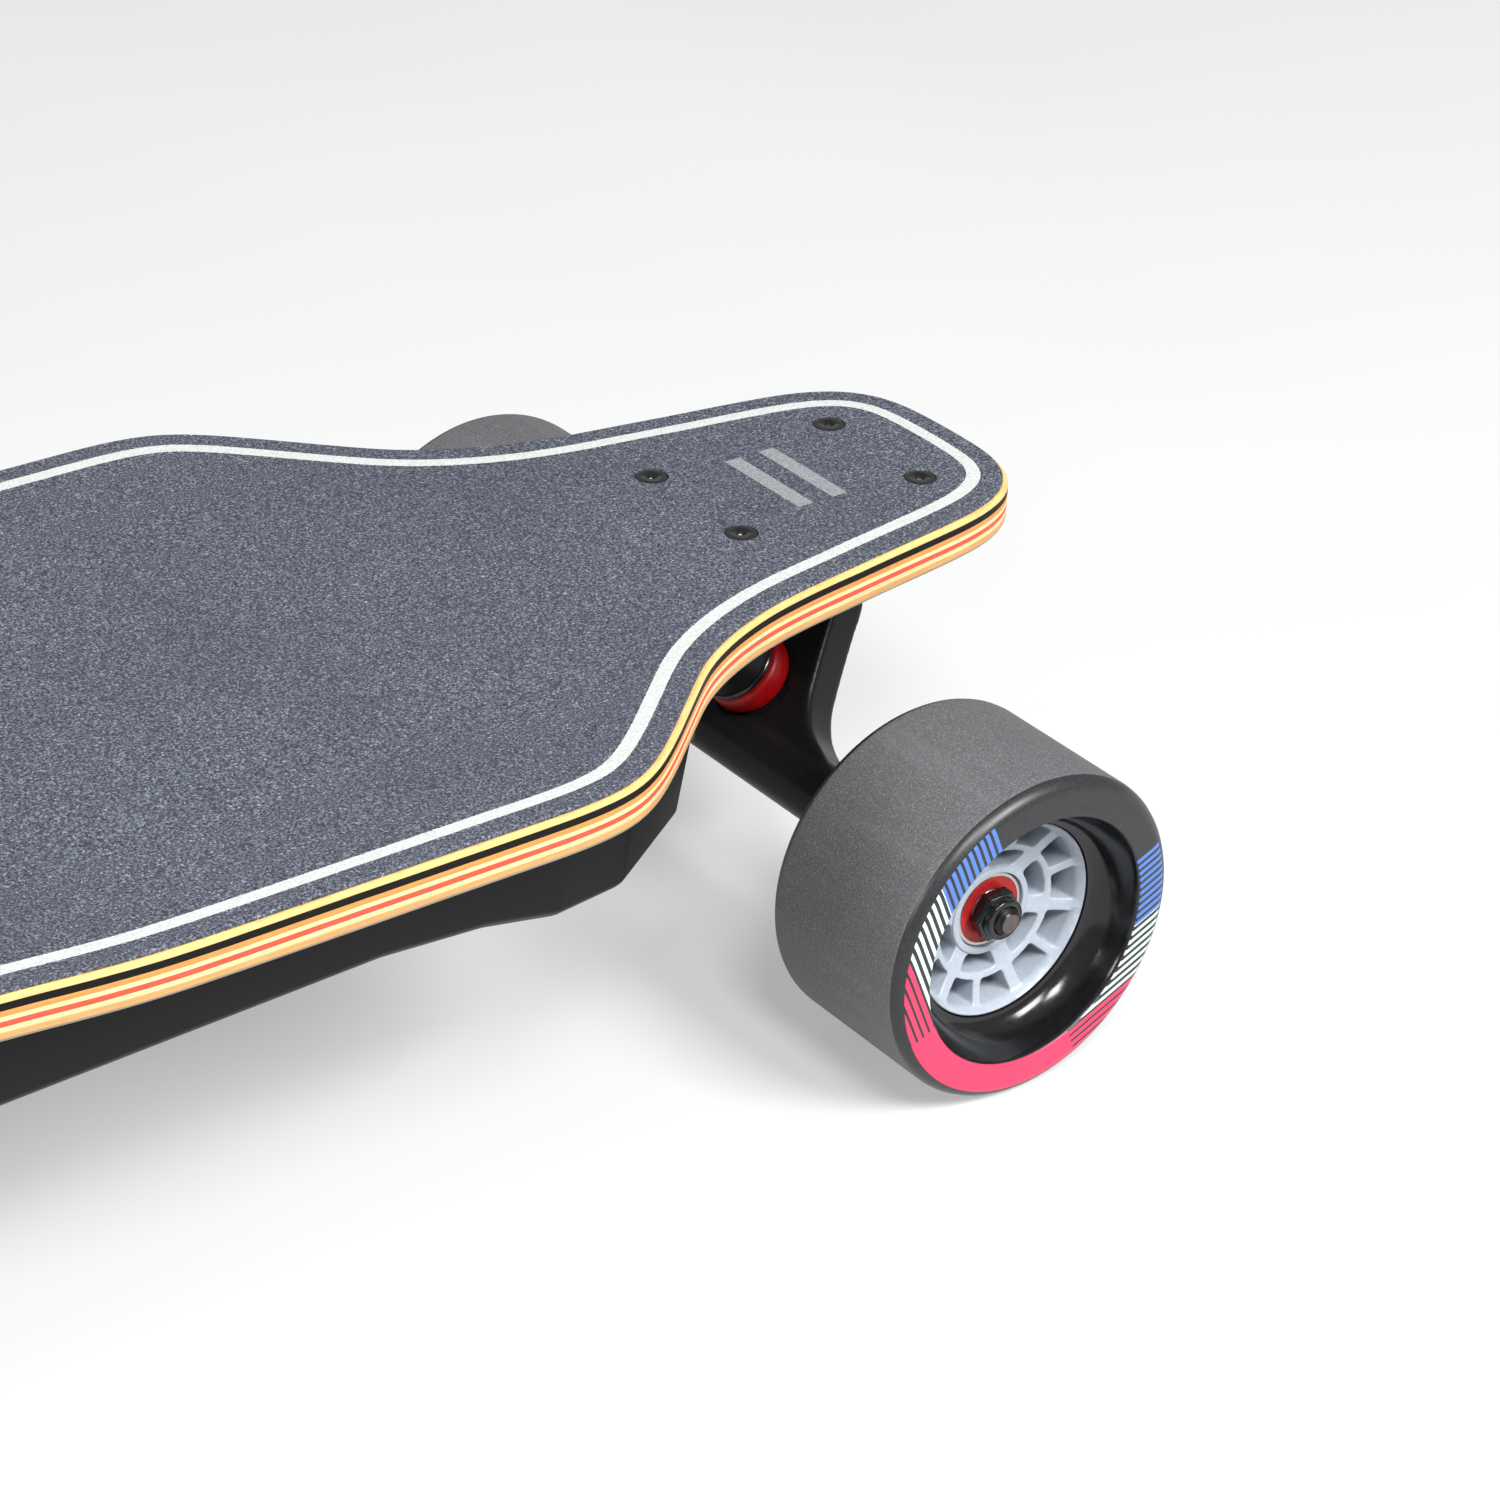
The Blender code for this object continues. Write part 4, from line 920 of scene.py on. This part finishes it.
def lock_nut(name, corner, bore, low, high, place):
    """Make a lock nut: chamfered hexagon with a round nylon collar on its outer end."""
    step = low + 0.62 * (high - low)
    start = step - 0.4 * MM
    flat = corner * math.cos(math.pi / 6)
    collar = softened(((flat * 0.94, start), (flat * 0.90, high - 0.3 * MM),
                       (flat * 0.78, high), (bore, high), (bore, start)), 0.3 * MM)
    bm = curve_mesh(name, [hexagon(corner), circle(bore, 32)], low, step, 0.4 * MM)
    ring = lathe("collar", collar, Matrix(), GLOSS_BLACK, 40)
    bm.from_mesh(ring.data)
    bpy.data.objects.remove(ring)
    return shown(name, bm, GLOSS_BLACK, place)


# Wheels

# How far each wheel's print is turned, in degrees
PRINT_TURNS = {"front_right": 22, "front_left": 75, "rear_right": 140, "rear_left": 205}
# The rounded lips of a tyre, and the radius where its print starts
LIP = 4.5 * MM
PRINT_START = 36.8 * MM


def tyre_skin(bore):
    """Return a tyre's closed profile: outer lip, tread, inner lip, then a bore in mm."""
    outer = [(WHEEL_RADIUS - LIP * a, OUTER_FACE - LIP * b) for a, b in quarter_turn(6)]
    inner = [(WHEEL_RADIUS - LIP * b, INNER_FACE + LIP * a) for a, b in quarter_turn(6)]
    return outer + inner + mm(bore)


def tyre_slot(radius, height):
    """Return a tyre face's material: 0 tread, 1 print, 2 gloss dish or 3 matt back."""
    face_depth = LIP - 0.1 * MM
    if radius > WHEEL_RADIUS - 0.3 * MM:
        return 0
    if height > OUTER_FACE - face_depth and radius > PRINT_START:
        return 1
    if height < INNER_FACE + face_depth and radius > PRINT_START:
        return 3
    return 2 if radius < WHEEL_RADIUS - LIP - 0.1 * MM else 0


def make_tyre(name, end, side, bore):
    """Make a tyre, whose UV map holds the place on the printed face in metres."""
    here = wheel_frame(end, side)
    tyre = lathe(f"{name}_urethane", tyre_skin(bore), here,
                 [TREAD, PRINT, CAVITY, CAVITY_MATT], 144, smooth=38, slot=tyre_slot)
    layer = tyre.data.uv_layers.new(name="UVMap")
    spin = Matrix.Rotation(math.radians(PRINT_TURNS[name]), 2)
    back = here.inverted()
    for loop in tyre.data.loops:
        spot = back @ tyre.data.vertices[loop.vertex_index].co
        layer.data[loop.index].uv = spin @ Vector((spot.x, -spot.y * side))
    shipped(tyre, f"{name}_wheel", "tread", f"{name}_tyre")


def window(inner, outer, first, last, soft):
    """Return a rounded window between two radii and two ribs, all in millimetres.

    Each rib is its middle angle and its half width. Its edges are parallel.
    """
    points = []
    for r, shares in ((inner, (0, 0.33, 0.67, 1)), (outer, (1, 0.67, 0.33, 0))):
        start = first[0] + first[1] / r
        span = last[0] - last[1] / r - start
        points += [polar(r, start + share * span) for share in shares]
    return mm(softened(points, [soft, 0, 0, soft] * 2))


# Profiles of a front wheel in mm: radius, and distance from the board's middle line
CORE_FACE = ((11.3, 114.6), (14.4, 114.7), (18.5, 115.9), (20.4, 116.6), (24.0, 117.5),
             (27.1, 118.7), (28.3, 121.0), (29.0, 121.0))
CORE_BOSS = ((13.5, 112), (13.3, 115.1), (11.25, 115.2), (11.25, 112))
CORE_BACK = ((28.9, 106.4), (28.9, 92), (25.5, 92), (24.5, 99), (15.5, 99), (15, 90),
             (11.3, 90), (11.3, 106.4))
TYRE_BACK = ((36.9, 79.0), (36.2, 80.0), (34.5, 86.0), (31.5, 90.8), (29.3, 92.0))
TYRE_BOWL = ((29.3, 121.3), (30.6, 121.7), (32.2, 122.9), (33.6, 124.9), (34.8, 127.5),
             (35.8, 130.6), (36.5, 133.0), (37.1, 134.0))
SPOKE_ANGLE = -12
FINEST_EDGE = 1.5 * MM


def make_core(name, here):
    """Make a front wheel's core: a dished wheel of six spokes with two rows of windows."""
    low, high, face_start = 106.5 * MM, 121 * MM, 114 * MM
    hub_half, wide, narrow = 2.8, 1.9, 1.4
    loops = [circle(29.0 * MM, 144), circle(11.25 * MM, 72)]
    for index in range(6):
        spoke, between, following = (math.radians(SPOKE_ANGLE + 60 * index + more)
                                     for more in (0, 30, 60))
        loops += [window(13.6, 18.5, (spoke, hub_half), (following, hub_half), 1.6),
                  window(20.4, 27.1, (spoke, wide), (between, narrow), 0.9),
                  window(20.4, 27.1, (between, narrow), (following, wide), 0.9)]
    bm = curve_mesh("core", loops, low, high, 0.5 * MM)
    for _ in range(3):
        bmesh.ops.triangulate(bm, faces=[face for face in bm.faces if len(face.verts) > 4])
        long_edges = [edge for edge in bm.edges if edge.calc_length() > FINEST_EDGE
                      and min(vert.co.z for vert in edge.verts) > high - 1 * MM]
        bmesh.ops.subdivide_edges(bm, edges=long_edges, cuts=1)
    bmesh.ops.triangulate(bm, faces=[face for face in bm.faces if len(face.verts) > 4])
    for vert in bm.verts:
        if vert.co.z > face_start:
            radius = math.hypot(vert.co.x, vert.co.y) / MM
            vert.co.z += lookup(CORE_FACE, radius) * MM - high
    core = shown(f"{name}_core_shown", bm, CORE_GREY, here, 42)
    shipped(core, f"{name}_wheel", "core_grey", f"{name}_core")
    turned(f"{name}_core_boss", CORE_BOSS, here, CORE_GREY,
           (f"{name}_wheel", "core_grey"), 0.45, 96)
    # The core's back web is its own grey plastic, coloured dark here: painted shade at the
    # bottoms of the windows.
    turned(f"{name}_core_back", CORE_BACK, here, CAVITY_MATT,
           (f"{name}_wheel", "core_grey"), 0.6, 96)


def make_bearings(name, here):
    """Make a wheel's two bearings: ground rings with a red shield between them."""
    for place, back, face, out in (("inner", 97, 90, -1), ("outer", 107, 114.4, 1)):
        shield = ((9.9, face - 0.25 * out), (6.2, face - 0.35 * out),
                  (6.2, face - 1.1 * out), (9.9, face - 1.0 * out))
        node = f"{name}_{place}_bearing"
        for part, outer, inner, nodes in (("outer_race", 11, 9.9, [node]),
                                          ("inner_race", 6.1, 4.15, [])):
            ring = ((outer, face), (outer, back), (inner, back), (inner, face))
            turned(f"{name}_{place}_{part}", ring, here, BRIGHT_STEEL,
                   (f"{name}_wheel", "bright_steel", *nodes), 0.25, 72)
        turned(f"{name}_{place}_shield", shield, here, RED_SHIELD,
               (f"{name}_wheel", "bright_steel"), 0.1, 72)


def make_front_axle():
    """Make the front axle with threaded, chamfered ends, its speed rings and its nuts."""
    end = 123.2
    thread = [(4.0 if step % 2 else 3.1, 122.5 - 0.625 * step) for step in range(16)]
    half = mm([(0.0, end), (2.8, end), (3.2, end - 0.4), *thread, (4.0, 113)])
    profile = half + [(radius, -height) for radius, height in reversed(half)]
    axle = lathe("front_axle_shown", profile, wheel_frame(1, 1), [BLACK_STEEL, AXLE_STEEL], 48,
                 closed=False, smooth=25,
                 slot=lambda radius, height: int(abs(height) > (end - 0.1) * MM))
    shipped(axle, "front_hanger_body", "axle_steel", "front_axle")
    for side_name, side in SIDES:
        name = f"front_{side_name}"
        here = wheel_frame(1, side)
        nut = lock_nut(f"{name}_lock_nut", 7.6 * MM, 4.2 * MM, 115.0 * MM, 121.4 * MM, here)
        shipped(nut, "front_hanger_body", "black_steel", f"{name}_axle_nut")
        for label, low, high in (("outer", 114.45, 115.0), ("inner", 89.15, 89.85)):
            turned(f"{name}_{label}_speed_ring", ((5.9, low), (5.9, high), (4.2, high),
                                                  (4.2, low)),
                   here, BLACK_STEEL, ("front_hanger_body", "black_steel"), 0.2, 40)


def make_front_wheel(side_name, side):
    """Make a free-rolling wheel."""
    name = f"front_{side_name}"
    here = wheel_frame(1, side)
    make_tyre(name, 1, side, [*TYRE_BACK, *smooth_curve(TYRE_BOWL, 3)])
    make_core(name, here)
    make_bearings(name, here)


# Profiles of a hub motor in mm
ROTOR = ((40, 128), (40, 81.5), (7.9, 81.5), (7.9, 86), (35.5, 86), (35.5, 128))
SLEEVE_BORE = ((41.0, 79.0), (40.3, 80.0), (40.3, 133.0), (41.0, 134.0))
COVER_LOW, COVER_HIGH = 128.3 * MM, 132.6 * MM


def make_rear_wheel(side_name, side):
    """Make a hub-motor wheel: tyre sleeve, rotor can, vented cover with screws, and nut."""
    name = f"rear_{side_name}"
    here = wheel_frame(-1, side)
    make_tyre(name, -1, side, SLEEVE_BORE)
    turned(f"{name}_rotor_can", ROTOR, here, SATIN_BLACK,
           (f"{name}_wheel", "satin_black", f"{name}_motor_rotor"), 0.8, 96)
    spokes = [math.radians(45 * index) for index in range(9)]
    vents = [window(16.5, 29.5, (spoke, 2.6), (following, 2.6), 2.0)
             for spoke, following in zip(spokes, spokes[1:])]
    cover = plate(f"{name}_cover_shown", [circle(39.5 * MM, 120), circle(8.0 * MM), *vents],
                  COVER_LOW, COVER_HIGH, here, SATIN_BLACK, 0.7 * MM, 40)
    shipped(cover, f"{name}_wheel", "satin_black", f"{name}_motor_cover")
    for index, spoke in enumerate(spokes[:8]):
        spot = here @ move(*polar(34.5 * MM, spoke), COVER_HIGH)
        screw = make_screw(f"{name}_cover_screw_{index}", 2.6 * MM, 0.7 * MM, spot)
        shipped(screw, f"{name}_wheel", "black_steel")
    near, far = sorted(abs(corner.y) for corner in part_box(f"{name}_axle_nut"))
    nut = lock_nut(f"{name}_lock_nut", 7.2 * MM, 4.2 * MM, near, far, here)
    shipped(nut, "rear_hanger_body", "black_steel", f"{name}_axle_nut")


def make_screw(name, radius, height, place):
    """Make a button-head screw with a hexagonal socket, on a face at the frame's origin."""
    return plate(name, [circle(radius, 32), hexagon(0.48 * radius)], -0.4 * MM, height, place,
                 BLACK_STEEL, 0.25 * radius)


# Enclosure

# Distance inboard of the axle, half width and height of the underside, in mm
ENCLOSURE_STATIONS = (
    (80, 79, 84.7), (108, 93.5, 80), (128, 94.5, 78.8), (150, 94.5, 83), (180, 94.5, 85),
    (300, 94.5, 81.5), (406.5, 94.5, 81.5),
)
ENCLOSURE_DRAFT = 5 * MM
ENCLOSURE_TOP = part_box("enclosure_gasket")[0].z - GAP
FACET_ANGLE = 9
SCREW_LINE = 82 * MM
# The boss on its left side, as places along the board and heights, in mm
BOSS_OUTLINE = ((-262, 88.5), (-198, 88.5), (-198, 106.5), (-262, 106.5))
BOSS_FACE = 100 * MM
PORT_X, BUTTON_X, PORT_Z = -245 * MM, -212 * MM, 97.5 * MM
# The cap's hinge, in mm
HINGE_X, HINGE_Y = -257.3, 102.9


def enclosure_body(name, inset, top, rounding):
    """Loft the enclosure's body, drawn in by an inset, with rounded facets."""
    places = []
    for back, half_width, bottom in ENCLOSURE_STATIONS:
        x = HALF_AXLES - back * MM - (0.0 if places else inset)
        places.append((x, half_width * MM - inset, bottom * MM + inset))
    places += [(-x, wide, bottom) for x, wide, bottom in reversed(places[:-1])]
    bm = bmesh.new()
    rings = []
    for x, wide, bottom in places:
        out = wide + ENCLOSURE_DRAFT
        right = [(x, wide - 3 * MM, bottom), (x, wide, bottom + 3 * MM),
                 (x, out, top + rise(out)), (x, FLAT_HALF_WIDTH, top)]
        left = [(x, -y, z) for _, y, z in reversed(right)]
        rings.append([bm.verts.new(point) for point in right + left])
    skin(bm, rings, capped=True)
    bmesh.ops.recalc_face_normals(bm, faces=bm.faces)
    if rounding:
        sharp = []
        for edge in bm.edges:
            heights = [vert.co.z for vert in edge.verts]
            below_top = max(heights) < top - 1 * MM
            upright = max(heights) - min(heights) > 5 * MM
            if edge.calc_face_angle(0.0) > math.radians(4) and (below_top or upright):
                sharp.append(edge)
        bmesh.ops.bevel(bm, geom=sharp, offset=rounding, segments=3, profile=0.5,
                        affect="EDGES", clamp_overlap=True)
    return shown(name, bm, CHARCOAL, smooth=FACET_ANGLE)


def make_enclosure():
    """Make the battery enclosure with its port boss, and the screws underneath."""
    shell = enclosure_body("enclosure_skin", 0.0, ENCLOSURE_TOP, 1.1 * MM)
    boss = plate("port_boss", [mm(softened(BOSS_OUTLINE, 3, steps=5))], -BOSS_FACE, -88 * MM,
                 turn(90, "X"), CHARCOAL, 0.6 * MM)
    cut(shell, boss, operation="UNION")
    cut(shell,
        enclosure_body("hollow", 2.5 * MM, PLY_TOP, 0.0),
        tool("port_hole", 8.3 * MM, 80 * MM, 110 * MM, port_frame(PORT_X)),
        tool("button_hole", 6.6 * MM, 80 * MM, 110 * MM, port_frame(BUTTON_X)))
    shell.data.shade_smooth()
    shell.data.set_sharp_from_angle(angle=math.radians(FACET_ANGLE))
    shipped(shell, "deck_body", "charcoal_plastic", "enclosure_shell")
    undersides = [(back, bottom) for back, _, bottom in ENCLOSURE_STATIONS]
    for step in range(6):
        x = -215 + 86 * step
        z = lookup(undersides, HALF_AXLES / MM - abs(x))
        for side_name, side in SIDES:
            screw = make_screw(f"enclosure_{side_name}_screw_{step}", 3.6 * MM, 1.2 * MM,
                               move(x * MM, side * SCREW_LINE, z * MM) @ turn(180, "X"))
            shipped(screw, "deck_body", "black_steel")


def port_frame(x):
    """Return a frame at a place on the boss's middle line, with +Z to the rider's left."""
    return move(x, 0.0, PORT_Z) @ turn(-90, "X")


def make_charge_port():
    """Make the charge port, and its cap on a hinge."""
    seal = ("deck_body", "seal_rubber")
    moving = ("charge_cap_body", "seal_rubber")
    at_port = port_frame(PORT_X)
    at_hinge = move(HINGE_X * MM, HINGE_Y * MM, PORT_Z)
    turned("charge_port_shown", ((9.5, 101.6), (9.5, 100.3), (8, 100.3), (8, 86.5), (0.4, 86.5),
                                 (0.4, 89), (5, 89), (5, 101.6)),
           at_port, RUBBER, (*seal, "charge_port"), 0.4)
    turned("cap_pin_shown", ((0.0, 5.6), (0.9, 5.4), (0.9, -5.4), (0.0, -5.6)),
           at_hinge, BRIGHT_STEEL, ("deck_body", "bright_steel"), segments=20, closed=False)
    rim = softened(((7.0, 103.9), (7.5, 103.4), (7.5, 101.9)), 0.3, closed=False)
    turned("charge_cap_shown", ((0.0, 103.7), (5.2, 103.9), *rim, (3.9, 101.9), (3.9, 99.9),
                                (3.4, 99.7), (0.0, 99.7)),
           at_port, RUBBER, (*moving, "charge_port_cap"), closed=False)
    turned("cap_barrel_shown", ((1.8, 4), (1.8, -4), (1.2, -4), (1.2, 4)),
           at_hinge, RUBBER, moving, 0.15, 32)
    lug = softened(((HINGE_X - 1.8, 100.3), (-251.6, 100.3), (-251.6, 101.5),
                    (HINGE_X + 1.2, 104.7), (HINGE_X - 1.8, 104.7)), 0.8)
    tab = softened(((HINGE_X + 0.5, 102.0), (-250.5, 102.0), (-250.5, 103.6),
                    (HINGE_X + 0.5, 103.6)), 0.3)
    for name, outline, middle, half, ship in (("cap_upper_lug", lug, 5.3, 1, seal),
                                              ("cap_lower_lug", lug, -5.3, 1, seal),
                                              ("cap_tab_shown", tab, 0, 3, moving)):
        piece = plate(name, [mm(outline)], PORT_Z + (middle - half) * MM,
                      PORT_Z + (middle + half) * MM, Matrix(), RUBBER, 0.2 * MM)
        shipped(piece, *ship)


def make_power_button():
    """Make the power button, with a raised rim."""
    turned("power_button_shown", ((0.0, 101.4), (2.4, 101.45), (3.0, 101.8), (5.2, 101.8),
                                  (5.8, 101.5), (6.0, 101.0), (6.0, 90.0), (0.0, 90.0)),
           port_frame(BUTTON_X), BLACK_STEEL,
           ("power_button_body", "black_steel", "power_button"), closed=False)


def make_glands():
    """Make the ribbed glands of the motor leads, on the enclosure's rear end."""
    profile = [(4.8, 9.0)]
    for height in (8.2, 5.8, 3.4):
        profile += [(5.9, height), (5.9, height - 1.0), (5.0, height - 1.4)]
    profile += [(6.8, 1.6), (6.8, 0.3), (4.7, 0.3), (4.7, -6), (2.4, -6), (2.4, 9.0)]
    shell_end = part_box("enclosure_shell")[0].x
    for side_name, _ in SIDES:
        low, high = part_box(f"{side_name}_motor_gland")
        middle = (low + high) / 2
        turned(f"{side_name}_gland_shown", profile,
               move(shell_end, middle.y, middle.z) @ turn(-90, "Y"), RUBBER,
               ("deck_body", "seal_rubber", f"{side_name}_motor_gland"), segments=40)


def dress_cad():
    """Give the CAD nodes that stay in view a finish of their own."""
    for node, material in (("enclosure_gasket", RUBBER), ("battery_pack", CELL_WRAP),
                           ("speed_controller", HEAT_SINK), ("rear_left_motor_stator", COPPER),
                           ("rear_right_motor_stator", COPPER)):
        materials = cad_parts[node].data.materials
        materials.clear()
        materials.append(material)


# Stage

CAMERA_PLACE = (HALF_AXLES - 0.62280, -0.78068, 0.61825)
CAMERA_AZIMUTH = math.radians(51.111)
CAMERA_DOWN = math.radians(29.961)
CAMERA_ROLL = 2.764
LENS = 95.6
# Name, place from the floor under the front axle, side of the square and power
LIGHTS = (
    ("key_softbox", (0.42, -1.73, 1.68), 0.90, 80.0),
    ("top_softbox", (-0.46, -0.96, 1.33), 0.40, 17.0),
    ("side_softbox", (-1.50, -0.10, 0.76), 0.40, 11.0),
)


def make_camera():
    """Set the camera where the photo was taken from."""
    flat = Vector((math.cos(CAMERA_AZIMUTH), math.sin(CAMERA_AZIMUTH), 0.0))
    ahead = flat * math.cos(CAMERA_DOWN) - Vector((0, 0, 1)) * math.sin(CAMERA_DOWN)
    right = ahead.cross(Vector((0, 0, 1))).normalized()
    level = Matrix((right, right.cross(ahead), -ahead)).transposed().to_4x4()
    data = bpy.data.cameras.new("camera")
    data.lens = LENS
    data.sensor_width = 36.0
    data.clip_start = 0.01
    camera = added("camera", data)
    camera.matrix_world = move(*CAMERA_PLACE) @ level @ turn(CAMERA_ROLL, "Z")
    bpy.context.scene.camera = camera


def area_light(name, offset, size, power):
    """Add a soft light that looks at the middle of the view."""
    data = bpy.data.lights.new(name, "AREA")
    data.shape = "RECTANGLE"
    data.size = size
    data.size_y = size
    data.energy = power
    light = added(name, data)
    place = Vector((HALF_AXLES, 0.0, 0.0)) + Vector(offset)
    direction = Vector((HALF_AXLES - 0.1, 0.0, 0.1)) - place
    light.rotation_euler = direction.to_track_quat("-Z", "Y").to_euler()
    light.location = place


def make_stage():
    """Make the pale floor, the soft lights and the white surroundings."""
    floor_shade = Shade("floor", Specular_IOR_Level=0.2, Emission_Strength=0.36,
                        Emission_Color=(1.0, 0.995, 0.985, 1.0))
    mottle = floor_shade.noise(3.0, 2.0)
    floor_shade.color(floor_shade.ramp(mottle, ((0.3, (0.37, 0.373, 0.378)),
                                                (0.7, (0.39, 0.393, 0.397)))))
    floor_shade.rough(floor_shade.spread(mottle, 0.40, 0.5))
    bm = bmesh.new()
    bmesh.ops.create_grid(bm, x_segments=2, y_segments=2, size=6.0)
    floor = shown("floor", bm, floor_shade.material)
    world = bpy.data.worlds.new("studio")
    world.use_nodes = True
    background = world.node_tree.nodes["Background"]
    background.inputs["Color"].default_value = (0.985, 0.99, 1.0, 1.0)
    background.inputs["Strength"].default_value = 0.44
    bpy.context.scene.world = world
    for light in LIGHTS:
        area_light(*light)
    bpy.context.scene.view_settings.view_transform = "Standard"


make_camera()
make_stage()
make_ply_board()
make_grip_sheet()
make_bolts()
for end_name, end in ENDS:
    make_hanger(end_name, end, HOUSING_HALF_WIDTHS[end_name])
    make_baseplate(end_name, end)
    make_stack(end_name, end)
make_front_axle()
for side_name, side in SIDES:
    make_front_wheel(side_name, side)
    make_rear_wheel(side_name, side)
make_enclosure()
make_charge_port()
make_power_button()
make_glands()
dress_cad()
